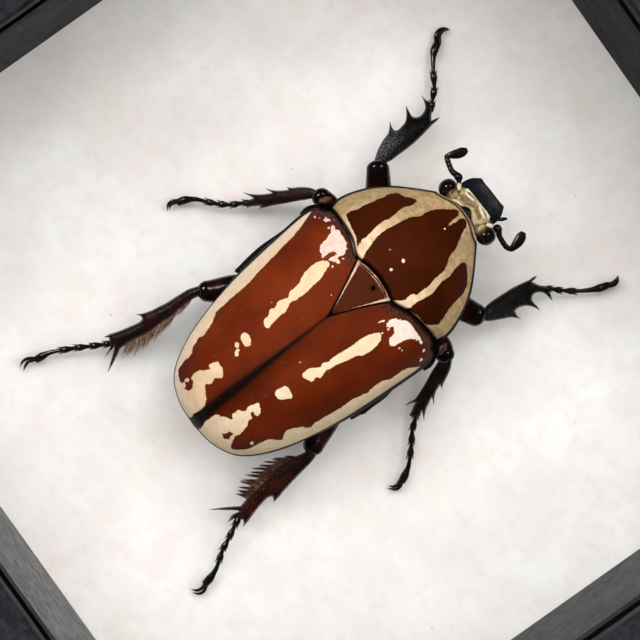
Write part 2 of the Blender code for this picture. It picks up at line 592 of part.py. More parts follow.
def make_pygidium(parent):
    """The last plate of the back, which closes the rear under the wing cases."""
    rows, columns = 5, 9
    across = np.linspace(-1, 1, columns)
    top, bottom = np.zeros((rows, columns, 3)), np.zeros((rows, columns, 3))
    for i, t in enumerate(np.linspace(0, 1, rows)):
        half = PYGIDIUM_HALF * math.cos(t * 1.2)
        z = PYGIDIUM_TOP - PYGIDIUM_DROP * t
        bulge = PYGIDIUM_BULGE * (1 - across**2)
        y = PYGIDIUM_Y + PYGIDIUM_BULGE * t - bulge
        top[i] = np.stack([across * half, y, np.full(columns, z)], axis=1)
        bottom[i] = np.stack([across * half, y + PYGIDIUM_THICK + bulge * 0.5, np.full(columns, z)], axis=1)
    finish(slab("pygidium", top, bottom, roll_matrix()), CUTICLE_BLACK, parent)


# Head


def make_head(parent):
    rows, columns = 7, 13
    side = curve_points(HEAD_SIDE, rows)
    head_top, head_edge, head_under = graph(HEAD_TOP), graph(HEAD_EDGE), graph(HEAD_UNDER)
    across = np.sin(np.linspace(-math.pi / 2, math.pi / 2, columns))
    top, bottom = np.zeros((rows, columns, 3)), np.zeros((rows, columns, 3))
    for i, (half, y_side) in enumerate(side):
        t = i / (rows - 1)
        x = across * half
        y = y_side + (front_line(np.abs(x)) + GAP - HEAD_SIDE[0][1]) * (1 - t)
        edge = head_edge(y)
        up = edge + (head_top(y) - edge) * dome(across, HEAD_POWERS)
        down = edge - (edge - head_under(y)) * dome(across, UNDER_POWERS)
        top[i] = np.stack([x, y, up], axis=1)
        bottom[i] = np.stack([x, y, down], axis=1)
    top += (HEAD_SHIFT, 0, 0)
    bottom += (HEAD_SHIFT, 0, 0)
    head = slab("head", top, bottom, roll_matrix())
    palp = curve_points((PALP_ROOT, PALP_BEND, PALP_TIP), 5)
    palp = tube("palp", palp, [1.2, 0.9, 0.8, 0.7, 0.3], [0.9, 0.8, 0.7, 0.6, 0.3], 6, roll_matrix())
    apply_boolean(head, [palp], "UNION")
    places = {"left": (HEAD_SHIFT - EYE_PLACE[0], *EYE_PLACE[1:]), "right": (HEAD_SHIFT + EYE_PLACE[0], *EYE_PLACE[1:])}
    socket = [r + GAP for r in EYE_RADII]
    sockets = [ellipsoid("socket", place, socket, turn=roll_matrix()) for place in places.values()]
    apply_boolean(head, sockets, "DIFFERENCE")
    finish(head, CREAM, parent)
    for side, place in places.items():
        finish(ellipsoid("eye_" + side, place, EYE_RADII, turn=roll_matrix()), CUTICLE_BLACK, parent)


def make_clypeus(parent):
    """The sloping plate over the mouth, with raised sides."""
    rows, columns = 5, 9
    side = curve_points(CLYPEUS_SIDE, rows)
    across = np.linspace(-1, 1, columns)
    top = np.zeros((rows, columns, 3))
    for i, (half, y) in enumerate(side):
        t = i / (rows - 1)
        z = CLYPEUS_DROP[0] + (CLYPEUS_DROP[1] - CLYPEUS_DROP[0]) * t
        rim = CLYPEUS_RIM * np.abs(across) ** 4
        arch = 0.35 * (1 - across**2) * (1 - t)
        top[i] = np.stack([across * half + HEAD_SHIFT, y + np.zeros(columns), z + rim + arch], axis=1)
    top[0, :, 1] = HEAD_SIDE[-1][1] + GAP
    bottom = top - (0, 0, CLYPEUS_THICK)
    finish(slab("clypeus", top, bottom, roll_matrix()), CUTICLE_BLACK, parent)


def make_antenna(side, parent):
    """Scape, thread and the club of three leaves, joined in one piece."""
    root, knob, scape_end, thread_end, club_root, club_tip = (np.array(p, float) for p in ANTENNA_POINTS[side])
    scape = ellipsoid("scape", knob, (0.6, 0.6, 0.55), 8, 6, roll_matrix())
    stalk = curve_points((root, knob, scape_end, thread_end, club_root), 10)
    wide = [0.6, 0.7, 0.75, 0.6, 0.55, 0.5, 0.55, 0.6, 0.7, 0.7]
    thread = tube("antenna_" + side, stalk, wide, [0.7] * 10, 7, roll_matrix())
    leaves = []
    for k in (-1, 0, 1):
        lift = np.array((0, 0, 0.42 * k))
        bend = np.cross(club_tip - club_root, (0, 0, 1)) * 0.06
        path = [club_root - (club_tip - club_root) * 0.05, club_root + lift * 0.6, (club_root + club_tip) / 2 + lift + bend,
                club_tip + lift]
        path = curve_points(path, 5)
        leaves.append(tube("leaf", path, [0.5, 1.0, 1.35, 1.1, 0.3], [0.5, 0.5, 0.5, 0.5, 0.3], 6, roll_matrix()))
    finish(apply_boolean(thread, [scape] + leaves, "UNION"), CUTICLE_BLACK, parent)


# Legs


def rounded_path(path, widths, heights, count, grow=0.0):
    """Points along a femur with its knee end rounded off."""
    points = curve_points(path, count)
    at = np.linspace(0, 1, count)
    knots = np.linspace(0, 1, len(widths))
    wide = np.interp(at, knots, widths) + 2 * grow
    high = np.interp(at, knots, heights) + 2 * grow
    along = points[-1] - points[-2]
    along /= np.linalg.norm(along)
    for push, shrink in ((0.55, 0.86), (0.95, 0.55)):
        points = np.vstack([points, points[count - 1] + along * (heights[-1] / 2 + grow) * push])
        wide = np.append(wide, wide[count - 1] * shrink)
        high = np.append(high, high[count - 1] * shrink)
    return points, wide, high


def body_cutters(pair):
    """Copies of the body grown by the gap, which trim what grows out of it."""
    if pair == "front":
        top, bottom = pronotum_grid(11, 17, GAP)
        return [slab("cutter", top, bottom, roll_matrix())]
    top, bottom = trunk_grid(TRUNK_FRONT_Y, TRUNK_REAR_Y, 18, 17, 1.0, GAP)
    return [slab("cutter", top, bottom, roll_matrix())]


def tibia_frame(leg):
    """The place on a tibia at (along, across), both as seen from above."""
    knee, ankle = np.array(KNEES[leg], float), np.array(ANKLES[leg], float)
    along = (ankle - knee) / np.linalg.norm((ankle - knee)[:2])
    level = np.cross((0, 0, 1), along)
    outwards = level / np.linalg.norm(level) * (1 if leg in ("front_left", "mid_right", "hind_right") else -1)
    return lambda a, b: knee + along * a + outwards * b


def make_leg(leg, parent):
    pair = leg.split("_")[0]
    points, wide, high = rounded_path(FEMUR_PATHS[leg], FEMUR_WIDTHS[pair], FEMUR_HEIGHTS[pair], 9)
    femur = tube("femur_" + leg, points, wide, high, 10)
    apply_boolean(femur, body_cutters(pair), "DIFFERENCE")
    finish(femur, CUTICLE_BLACK, parent)
    make_tibia(leg, pair, parent)
    make_foot(leg, pair, parent)


def make_tibia(leg, pair, parent):
    at = tibia_frame(leg)
    outline = np.array(TIBIA_OUTLINES[pair])
    outline[:, 0] *= math.dist(KNEES[leg][:2], ANKLES[leg][:2]) / outline[-1, 0]
    path = [at(a, (outer + inner) / 2) for a, outer, inner in outline]
    wide = outline[:, 1] - outline[:, 2]
    high = np.minimum(TIBIA_HEIGHTS[pair], wide * 0.85)
    tibia = tube("tibia_" + leg, path, wide, high, 8)
    spines = []
    for root, tip, radius in TIBIA_TEETH[leg]:
        start, end = at(*root), at(*tip)
        middle = (start + end) / 2 + (at(0.12, 0) - at(0, 0))
        spines.append(tube("tooth", [start, middle, end], [2 * radius, 1.2 * radius, 0.12], [1.1, 0.7, 0.12], 5))
    if pair == "hind":
        spines += fringe(at)
    apply_boolean(tibia, spines, "UNION")
    points, wide, high = rounded_path(FEMUR_PATHS[leg], FEMUR_WIDTHS[pair], FEMUR_HEIGHTS[pair], 9, GAP)
    apply_boolean(tibia, [tube("cutter", points, wide, high, 10)], "DIFFERENCE")
    finish(tibia, CUTICLE_BROWN if pair == "hind" else CUTICLE_BLACK, parent)


def fringe(at):
    """The comb of bristles along the inner side of a hind tibia, as flat locks."""
    pick = np.random.default_rng(FRINGE_SEED)
    locks = []
    for k, along in enumerate(np.linspace(*FRINGE_ALONG, FRINGE_COUNT)):
        reach = FRINGE_REACH * math.sin(math.pi * (k + 2) / (FRINGE_COUNT + 3)) ** 0.5 * pick.uniform(0.9, 1.08)
        lean = pick.uniform(0.9, 1.15)
        path = [at(along, -0.7), at(along + 0.5 * lean, -1.7 - reach * 0.4), at(along + 1.3 * lean, -1.5 - reach)]
        locks.append(tube("lock", path, [0.8, 0.65, 0.14], [0.5, 0.5, 0.14], 5))
    return locks


def make_foot(leg, pair, parent):
    """Five joints of the foot, each wider at its far end, and two hooked claws."""
    knee, ankle = np.array(KNEES[leg], float), np.array(ANKLES[leg], float)
    along = (ankle - knee) / np.linalg.norm(ankle - knee)
    root = ankle + along * GAP
    path = curve_points((root, root + along * 0.5, *FOOT_PATHS[leg]), 60)
    stops = (0.0, 0.15, 0.3, 0.45, 0.6, 1.0)
    rows, wide = [], []
    for first, last in zip(stops, stops[1:]):
        rows += [first + 0.01, (first + last) / 2, last - 0.03]
        wide += [0.75, 0.95, 1.25] if last < 1 else [0.75, 0.8, 1.1]
    rows[0] = 0.0
    foot = tube("tarsus_" + leg, [path[int(round(r * 59))] for r in rows], wide, [w * 0.85 for w in wide], 7)
    claws = []
    hook = [np.array(p, float) for p in CLAW_PATHS[leg]]
    sideways = np.cross(hook[2] - hook[0], (0, 0, 1))
    sideways /= np.linalg.norm(sideways)
    for sign in (-1, 1):
        apart = sideways * sign * CLAW_SPREAD + np.array((0, 0, sign * 0.15))
        start = hook[0] - (hook[1] - hook[0]) * 0.35
        path = curve_points((start, (hook[0] + hook[1]) / 2 + apart * 0.6, hook[1] + apart, hook[2] + apart), 6)
        claws.append(tube("claw", path, [0.6, 0.6, 0.6, 0.5, 0.35, 0.12], [0.6, 0.6, 0.6, 0.5, 0.35, 0.12], 5))
    finish(apply_boolean(foot, claws, "UNION"), CUTICLE_BLACK, parent)


def make_pin(parent):
    """The cut pin that holds the body over the paper."""
    x, y = PIN_PLACE
    path = [(x, y, GAP), (x, y - 0.001, PIN_TOP)]
    finish(tube("pin", path, [2 * PIN_RADIUS] * 2, [2 * PIN_RADIUS] * 2, 10), STEEL, parent)


def main():
    for old in list(bpy.data.objects):
        bpy.data.objects.remove(old)
    make_case()
    specimen = bpy.data.objects.new("specimen", None)
    bpy.context.scene.collection.objects.link(specimen)
    specimen.location = (SPECIMEN_SHIFT[0] * MM, SPECIMEN_SHIFT[1] * MM, PAPER_TOP * MM)
    specimen.rotation_euler = (0, 0, SPECIMEN_YAW)
    for side in ("left", "right"):
        make_elytron(side, specimen)
        make_epimeron(side, specimen)
        make_antenna(side, specimen)
    make_scutellum(specimen)
    make_pronotum(specimen)
    make_trunk(specimen)
    make_pygidium(specimen)
    make_head(specimen)
    make_clypeus(specimen)
    for leg in FEMUR_PATHS:
        make_leg(leg, specimen)
    make_pin(specimen)


main()
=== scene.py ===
"""Looks of a giant flower beetle, a pinned female with spread legs, in a square shadow-box case.

Constants are millimetres, and those of the lamps and the floor metres. The beetle has a frame of its own: x
to its right, y forwards, z up from the paper. The outlines of its markings are in pixels of the photograph,
640 on each side, and reach the shells through the camera at the place that the photograph was taken from.
"""

import math

import bmesh
import bpy
import numpy as np
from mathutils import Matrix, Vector
from mathutils.geometry import delaunay_2d_cdt


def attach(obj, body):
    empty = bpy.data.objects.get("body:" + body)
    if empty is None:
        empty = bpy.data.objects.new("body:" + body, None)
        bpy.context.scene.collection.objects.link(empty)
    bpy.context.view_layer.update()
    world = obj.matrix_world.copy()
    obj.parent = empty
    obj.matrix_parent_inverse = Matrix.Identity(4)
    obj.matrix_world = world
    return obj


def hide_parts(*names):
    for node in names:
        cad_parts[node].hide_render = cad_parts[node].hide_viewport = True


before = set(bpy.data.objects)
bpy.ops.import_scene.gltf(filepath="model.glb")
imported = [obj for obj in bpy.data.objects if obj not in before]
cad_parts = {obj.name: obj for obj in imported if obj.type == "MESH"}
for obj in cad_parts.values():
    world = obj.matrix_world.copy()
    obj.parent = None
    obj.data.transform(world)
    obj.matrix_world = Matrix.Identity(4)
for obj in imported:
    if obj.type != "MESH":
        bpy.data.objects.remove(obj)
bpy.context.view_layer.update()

MM = 0.001
GAP = 0.3  # between two pieces that touch

# Inner walls of the case: side, grain, two shades of stain and the height from which they are painted black
# as the shadow in the glazing slot. The shades differ by side as painted light and shade: darkest on the head
# wall, then the left, and lightest on the foot wall.
WALL_STAIN_AND_SHADE = (("right", "y", "363738", "555758", 33.2), ("head", "x", "0b0b0c", "19191a", 31.5),
               ("left", "y", "131314", "353636", 33.2), ("foot", "x", "4b4c4c", "858686", 33.2))
WALL_TOP = 36.2
RAIL_PAINT = ("101012", "303035")
RAIL_SLOT_SHADOW = (30.0, 38.8)  # heights between which the rails are painted black inside, as the shadow in the glazing slot
CASE_INNER = 63.5  # half of the opening
INNER_SIDE = 6.0  # how far out from the opening the wood takes the painted slot shadow and the painted shade at its foot
# Glue in a mitre: half its thickness, and its section as distance out from the opening and height
MITRE_HALF = 0.14
MITRE_SECTION = ((0.2, 5.5), (0.2, 36.0), (4.5, 36.0), (4.5, 39.4), (0.2, 39.4), (0.2, 42.5), (12.0, 42.5),
                 (12.0, 0.5), (4.5, 0.5), (4.5, 5.5))

# Camera
PHOTO_SIZE = 640
FOCAL_PIXELS = 2097.0
SENSOR_WIDTH = 36.0
CAMERA_PLACE = (-8.77, -0.65, 356.5)
CAMERA_TURN = (-1.398, -0.771, 54.735)  # degrees about x, y and z
SKY_LIGHT, SKY_GLOSS = 0.11, 0.04  # what surfaces get from all round, and what they mirror
# Each square lamp: to the right of the picture, towards its top, height, size in metres, and power
LAMPS = (
    ("key_left", -0.58, 0.62, 1.47, 0.9, 9.1),
    ("key_right", 0.58, 0.62, 1.47, 0.9, 12.0),
    ("fill", 0.3, -0.45, 0.95, 0.6, 1.3),
    ("side_left", -1.0, 0.4, 0.8, 0.5, 5.2),
    ("side_right", 1.0, 0.0, 0.8, 0.5, 4.5),
    ("overhead", 0.0, 0.0, 1.5, 1.2, 3.6),
    ("ahead", 0.0, 1.0, 0.8, 0.5, 3.2),
)
LAMP_TARGET = (0, 0, 0.01)
# Lamps that show only in gloss: to the right and power of each, and towards the top, height and size of both
GLINTS = (("glint_left", -0.52, 5.5), ("glint_right", 0.45, 1.4))
GLINT_PLACE = (0.5, 0.92)
GLINT_SIZE = (0.3, 0.1)
FLOOR_REACH = 3.0  # metres

# Pose of the beetle on the paper
PAPER_TOP = 5.0
SPECIMEN_PLACE = (1.25, -1.3, PAPER_TOP)
SPECIMEN_YAW = 3.0  # degrees
BODY_ROLL = -3.0  # degrees, of the body without its legs
ROLL_HEIGHT = 12.0  # of the line that it rolls about
PIN_PLACE = (0.9, 9.3)
PIN_HOLE = (0.22, 0.36)  # radii of the bottom and the mouth of the hole in the scutellum
PIN_HOLE_DEPTH = 1.6

PIXELS_PER_MM = FOCAL_PIXELS / (CAMERA_PLACE[2] - PAPER_TOP - 22.0)  # on the beetle's back
FAR_PIXELS = 99.0  # distance from a marking on a piece that has none
SIGNS = {"left": -1, "right": 1}

# Back of the beetle: its sides and its hind and front lines as x and y, its heights as y and the value there
SUTURE_HALF_GAP = 0.02
SCUTELLUM_TIP_Y = 1.5
SCUTELLUM_CORNER = (4.4, 10.2)
SCUTELLUM_BEND = (2.2, 5.9)
SCUTELLUM_LINES = ((0.22, 0.07), (0.6, 0.05))  # pale lines along its front: distance and half their width
SUTURE_RUN = (0.5, -26.9)  # y of its two ends
ELYTRON_SIDE = ((13.9, 11.5), (15.4, 10.2), (15.9, 7.6), (15.6, 2.0), (15.0, -5.0), (13.7, -12.0),
                (11.7, -19.0), (8.7, -24.2), (4.6, -26.5), (SUTURE_HALF_GAP, -27.1))
ELYTRON_TOP = ((-27.1, 11.6), (-26.3, 15.0), (-24.5, 17.9), (-20.0, 21.3), (-13.0, 23.6), (-5.0, 24.6),
               (3.0, 24.5), (12.0, 23.4))
ELYTRON_EDGE = ((-27.1, 11.4), (-20.0, 11.0), (-8.0, 11.6), (4.0, 12.4), (12.0, 12.8))
ELYTRON_THICK = 0.9
ELYTRON_POWERS = (2.5, 0.52)
BUMPS = ((11.4, 6.6, 0.5, 2.1, 2.8), (8.0, -19.5, 0.5, 2.2, 2.4))  # x, y, height and two widths
SHOULDER_X = 4.0  # from here outwards a wing case meets the pronotum
# Beads and grooves, as height, distance and width: beside the suture, and in from the rims of the shells
SUTURE_BEADS = ((0.22, 0.0, 0.9), (-0.28, 2.6, 1.2))
ELYTRON_BEADS = ((0.16, 0.2, 0.16), (-0.1, 0.6, 0.2))
PRONOTUM_BEADS = ((0.2, 0.12, 0.14), (-0.12, 0.5, 0.22))
SUTURE_RELIEF_Y = (-4.0, -26.0)  # from where to where the suture is raised
SUTURE_RELIEF_FADE = 6.0
SEAM_BAND = {"left": 0.78, "right": 0.5}  # what the dark band of the suture gains in width towards the rear
FRONT_EDGE_SHADOW = {"left": (0.1, 0.45), "right": (0.3, 0.75)}  # where the painted shadow black behind its front edge fades
# What the materials read on the hidden side of the shells and of the head
SHELL_BELOW = {"cream": 9.0, "white": 9.0, "dark": 1.0, "shade": 1.0, "dull": 1.0, "front_shade_and_sheen": 1.0}
HEAD_BELOW = {"dark": 0.6, "black": 1.0, "pale": 0.0}
PRONOTUM_SIDE = ((14.0, 12.4), (14.2, 14.4), (13.5, 17.0), (12.2, 19.9), (10.4, 22.4), (8.0, 24.9),
                 (5.4, 27.3))
PRONOTUM_TOP = ((12.0, 23.3), (17.0, 22.4), (22.0, 20.2), (26.0, 17.6), (28.6, 15.4))
PRONOTUM_EDGE = ((12.0, 13.4), (20.0, 12.8), (28.6, 12.2))
PRONOTUM_UNDER = ((12.0, 5.6), (17.0, 5.4), (22.0, 6.4), (28.6, 8.4))
PRONOTUM_POWERS = (2.3, 0.66)
UNDER_POWERS = (1.5, 0.9)
HIND_LINE = ((0.0, 11.3), (2.6, 11.0), (4.4, 10.5), (7.5, 11.7), (11.0, 12.2), (14.0, 12.3))
FRONT_LINE = ((0.0, 28.6), (1.9, 28.4), (4.2, 27.5), (5.4, 27.2))

# Head, which sits a little to the right of the middle line
HEAD_SHIFT = 0.4
HEAD_SIDE = ((4.6, 27.9), (4.7, 29.4), (4.2, 30.8), (4.05, 31.6))
HEAD_TOP = ((27.0, 15.0), (29.5, 14.2), (32.5, 12.2))
HEAD_EDGE = ((27.0, 12.2), (32.5, 10.2))
HEAD_UNDER = ((27.0, 8.6), (32.5, 8.8))
HEAD_POWERS = (2.6, 0.75)
HEAD_CORNERS = (3.95, 31.6)  # x and y from which its front corners are black
CLYPEUS_SIDE = ((4.25, 31.9), (4.15, 32.7), (3.8, 33.5), (2.95, 34.6))
CLYPEUS_DROP = (12.5, 9.0)
CLYPEUS_THICK = 1.2
CLYPEUS_RIM = 0.5
EYE_PLACE = (4.95, 29.1, 12.4)
EYE_RADII = (1.5, 1.6, 1.6)
CANTHUS = ((3.55, 30.2, 13.3), (4.1, 30.65, 13.2), (4.5, 30.8, 12.7))
ANTENNA_POINTS = {
    "left": ((-4.1, 31.1, 10.6), (-5.0, 31.7, 10.4), (-6.4, 31.5, 10.3), (-8.4, 32.1, 10.2),
             (-8.9, 32.6, 10.2), (-7.6, 35.6, 10.2)),
    "right": ((4.9, 31.1, 10.4), (5.6, 31.5, 10.2), (6.7, 31.0, 10.0), (8.8, 30.8, 9.8), (9.5, 31.3, 9.8),
              (8.6, 34.5, 9.8)),
}
THREAD_BEADS = 6
LEAF_WIDTHS = (0.6, 1.1, 1.45, 1.6, 1.5, 0.7)
LEAF_HEIGHTS = (0.4, 0.44, 0.44, 0.44, 0.42, 0.3)
PALP_PATH = ((2.6, 31.4, 9.3), (4.3, 32.6, 8.5), (5.2, 33.9, 8.2))

# Legs: the path of each femur from inside the body to the knee, its widths and heights on the way, and the
# ends of each shin
FEMUR_PATHS = {
    "front_left": ((-4.0, 15.0, 7.8), (-6.4, 16.8, 5.4), (-10.2, 19.6, 6.2), (-14.0, 22.3, 8.4)),
    "front_right": ((4.0, 15.0, 7.8), (6.4, 16.4, 5.4), (10.4, 18.3, 6.2), (14.7, 20.2, 8.4)),
    "mid_left": ((-3.5, 3.2, 6.8), (-6.0, 5.4, 4.6), (-11.0, 10.4, 5.6), (-14.0, 12.4, 7.4),
                 (-16.2, 12.2, 8.3)),
    "mid_right": ((3.5, 3.2, 6.8), (6.0, 5.4, 4.6), (11.0, 10.4, 5.6), (14.4, 12.6, 7.4), (16.6, 12.2, 8.3)),
    "hind_left": ((-3.0, -2.2, 6.8), (-6.5, -3.4, 4.9), (-11.6, -6.4, 5.6), (-15.7, -12.0, 7.8)),
    "hind_right": ((3.0, -2.2, 6.8), (6.5, -3.6, 4.9), (11.4, -7.4, 5.6), (15.0, -14.0, 7.8)),
}
FEMUR_WIDTHS = {"front": (3.2, 3.4, 4.4, 3.8), "mid": (3.4, 2.6, 3.7, 3.2), "hind": (3.8, 3.6, 4.9, 3.5)}
FEMUR_HEIGHTS = {"front": (3.0, 2.4, 2.9, 2.7), "mid": (3.0, 2.2, 2.6, 2.5), "hind": (3.2, 2.4, 2.9, 2.7)}
KNEES = {
    "front_left": (-14.2, 23.1, 8.4),
    "front_right": (15.1, 20.7, 8.4),
    "mid_left": (-17.0, 11.7, 8.2),
    "mid_right": (17.2, 11.7, 8.2),
    "hind_left": (-16.5, -13.1, 7.8),
    "hind_right": (15.6, -14.9, 7.8),
}
ANKLES = {
    "front_left": (-16.1, 35.3, 3.6),
    "front_right": (18.3, 32.3, 3.6),
    "mid_left": (-22.4, 3.3, 3.4),
    "mid_right": (21.6, 2.6, 3.4),
    "hind_left": (-18.8, -29.6, 3.4),
    "hind_right": (17.4, -31.6, 3.4),
}
# Feet as the photograph shows them, in its pixels: where the short joints meet, the middle line of the last
# joint, and the middle lines of the two claws
FOOT_JOINTS = {
    "front_left": ((431.5, 112), (432, 102), (434.5, 88), (433.3, 72)),
    "front_right": ((544, 288), (551.5, 289), (562, 290.5), (576, 291.3)),
    "mid_left": ((253, 203), (243, 203), (230.5, 205), (218.5, 204), (206, 201.7)),
    "mid_right": ((417, 411), (415.5, 418), (412.3, 430), (411.5, 444), (410, 457)),
    "hind_left": ((113, 343), (104, 344.5), (90, 346.3), (75, 348), (60, 350.5)),
    "hind_right": ((241, 514), (234.5, 526), (228.7, 538.5), (222.5, 550), (219, 561)),
}
LAST_JOINTS = {
    "front_left": ((433.2, 60), (434.2, 51), (437.5, 43)),
    "front_right": ((590, 290), (600, 288), (608, 285)),
    "mid_left": ((196, 199.3), (186, 199.8), (177.5, 202.5)),
    "mid_right": ((408.5, 466), (405.5, 474), (401.5, 482)),
    "hind_left": ((50, 352.6), (42, 356.3), (36, 360)),
    "hind_right": ((216, 569), (211, 577), (205, 584)),
}
CLAWS = {
    "front_left": (
        ((437.3, 44), (436.8, 36), (439.2, 31), (444, 28.6), (450.5, 29.5)),
        ((438.5, 44), (438.2, 37), (440.5, 32.5), (444.5, 30.3), (448.5, 30.5)),
    ),
    "front_right": (
        ((606, 286), (613, 285), (617, 281.5), (618.3, 275)),
        ((606, 284.5), (612, 283.6), (615.5, 280.5), (617, 276.5)),
    ),
    "mid_left": (
        ((180, 200.5), (172.5, 201.2), (168.3, 204.5), (167, 211)),
        ((180, 202.5), (174, 203), (170.5, 205.5), (169.5, 210)),
    ),
    "mid_right": (
        ((402, 481), (399.8, 486.8), (395, 489.4), (387, 488)),
        ((400, 480), (397.5, 484.5), (393.5, 486.5), (388.5, 485.5)),
    ),
    "hind_left": (
        ((37, 358.6), (28, 358.5), (22.3, 362), (20.5, 367.5)),
        ((35, 360), (29, 361.5), (25.6, 365.5), (23.5, 371)),
    ),
    "hind_right": (
        ((205, 583), (201.8, 588), (197, 590.3), (191, 589.5)),
        ((207, 584), (204, 591), (199, 593.7), (192.5, 592.5)),
    ),
}
KNEE_LENGTH = 0.6  # of its height
KNEE_NOTCH = (0.2, 0.6)  # depth and width
JOINT_WIDTHS = (0.6, 0.72, 0.95, 1.2, 1.1, 0.6)  # along a short joint
LAST_WIDTHS = (0.62, 0.75, 0.95, 1.4, 1.25)  # along the last one
SPINE_WIDTHS = (0.24, 0.17, 0.03)
FOOT_FALL = (3.4, 1.5, 0.6)  # height of the ankle, of the claws' roots and of their tips
CLAW_WIDTHS = {"front_left": (1.0, 1.05, 0.85, 0.5, 0.06), "front_right": (0.8, 0.75, 0.6, 0.06)}
CLAW_WIDTH = (0.6, 0.58, 0.45, 0.06)
# Shins as the photograph shows them, in its pixels: smooth runs that meet at sharp tips, from the outer side
# of the knee round the ankle to the inner side. Each run goes on from the end of the one before.
SHIN_OUTLINES = {
    "front_left": (
        ((376, 169), (373.8, 164), (374.5, 160), (376, 155), (377.5, 150.5), (380, 145.5), (383, 140),
         (386.5, 135.5), (388.8, 131), (389.9, 121.5)),
        ((391.5, 126), (393.5, 129.3), (396, 130.5), (399, 129), (402, 126), (404.5, 123), (406, 119),
         (406.3, 113), (405.8, 105.3)),
        ((408, 109), (410, 113), (412.5, 116.5), (416, 117.3), (420, 116), (423, 113), (425, 109), (425, 105),
         (423.5, 100), (420.8, 94.8)),
        ((423, 97), (426, 100), (429.5, 102.5), (432.5, 108), (431.5, 114), (431.5, 120.5)),
        ((435, 118.8), (440, 117)),
        ((436.5, 121.2), (432.5, 124.5)),
        ((427, 130.5), (420, 137.5), (413, 144), (405, 150.3), (398, 155.5), (392, 160), (387, 162.8),
         (385, 168)),
    ),
    "front_right": (
        ((474, 318), (478, 320.5), (484, 321), (491, 321), (497, 320), (503, 319), (508, 317.8), (513, 317.5),
         (521.5, 319)),
        ((518, 316.5), (516, 313.5), (515.3, 311), (518, 308.3), (522, 306.5), (527, 305.8), (532, 306.5),
         (536, 308.3), (540, 310.8)),
        ((537.5, 306.5), (534, 303), (532, 299.5), (532.5, 295.8), (536, 293), (541, 292.3), (545.5, 294),
         (549, 297.5), (552.6, 301)),
        ((551, 295), (549.5, 291.5), (549, 288), (545, 286), (539, 285), (532, 281.5)),
        ((534.8, 279.3), (537, 276)),
        ((533.5, 276.8), (529.5, 279.8)),
        ((525, 281.7), (518, 285), (511, 288.6), (505, 292.5), (498, 297), (492, 301), (487, 305),
         (483.5, 308.8), (478, 311)),
    ),
    "mid_left": (
        ((322, 193), (316, 190), (311, 187.8), (305, 187), (299, 187), (292, 187.7), (286.5, 187)),
        ((288, 189.5), (282, 190.3), (276, 190.5), (271, 189.8), (265.2, 188)),
        ((269, 190.8), (271.8, 192.8), (266, 193.8), (260, 194.3), (252, 194.1), (242, 192.3)),
        ((248, 195), (253, 198.2), (248, 200), (245.5, 203.5), (247, 206.4), (245.3, 209)),
        ((250, 207), (260, 206.2), (258.3, 209.2)),
        ((265, 207.6), (272, 205.8), (280, 204.5), (288, 203), (297, 201.2), (305, 200), (313, 198.5),
         (320, 198)),
    ),
    "mid_right": (
        ((448, 352), (452, 357), (451.5, 364), (450.3, 369.5), (448, 375), (445.5, 380), (443.3, 384.5),
         (441.8, 389.5)),
        ((441, 386.5), (440, 385.2), (438, 388.5), (436, 392), (434.7, 396), (434.3, 400), (433.8, 405)),
        ((432.8, 400.5), (431.8, 397.5), (430.5, 400), (428.5, 404.5), (426.3, 409), (425, 414), (424, 421)),
        ((423, 416), (421.8, 411.3), (419.5, 417), (414, 418), (409, 415.5)),
        ((411.5, 411), (413.5, 406), (415, 402.5), (410, 403.7), (404.5, 406)),
        ((409, 402.3), (413, 400.3), (416, 397.5), (419, 393), (422, 388.5), (425, 383.5), (428, 378),
         (431, 372.5), (434.5, 367), (438, 361.8), (441, 356)),
    ),
    "hind_left": (
        ((204, 288), (199, 286), (195, 287), (188, 289.3), (181, 293.5), (174, 297.8), (167, 302.5),
         (160, 306), (152, 310), (144, 313), (135.8, 314.5)),
        ((139.5, 315.5), (141.8, 318), (141, 320.5), (137, 323.3), (131, 326), (124, 329), (116, 332),
         (110, 334), (104, 337)),
        ((109, 338), (108, 343), (110, 347), (104.5, 357.5)),
        ((112, 349.5), (114, 349), (107.5, 372.8)),
        ((115, 360), (120, 349)),
        ((127, 344), (134, 340), (141, 336.5), (148, 333), (154, 328.5), (160, 324), (166, 320), (172, 316),
         (178, 310), (184, 305), (190, 301), (196, 297.5), (202, 296)),
    ),
    "hind_right": (
        ((318, 446), (317, 452), (316, 456), (313, 460.5), (308, 466), (302, 472), (296, 478), (290, 484.5),
         (284, 491), (279, 497), (273.8, 502.5)),
        ((273, 498), (271.5, 496.5), (267, 498.5), (262, 503.5), (257, 509.5), (252, 516), (248, 521.5),
         (243, 526.8)),
        ((243.5, 521), (240, 519), (236, 518), (227.5, 522.5)),
        ((232, 515), (239, 511), (224, 510.2), (208, 509.5)),
        ((224, 507.3), (240.5, 506)),
        ((243, 503), (247, 498), (252, 493), (258, 487.5), (264, 481.5), (269, 476), (273, 470.5), (278, 466),
         (283, 462.5), (289, 459), (296, 456), (303, 453), (307, 450), (311, 445)),
    ),
}
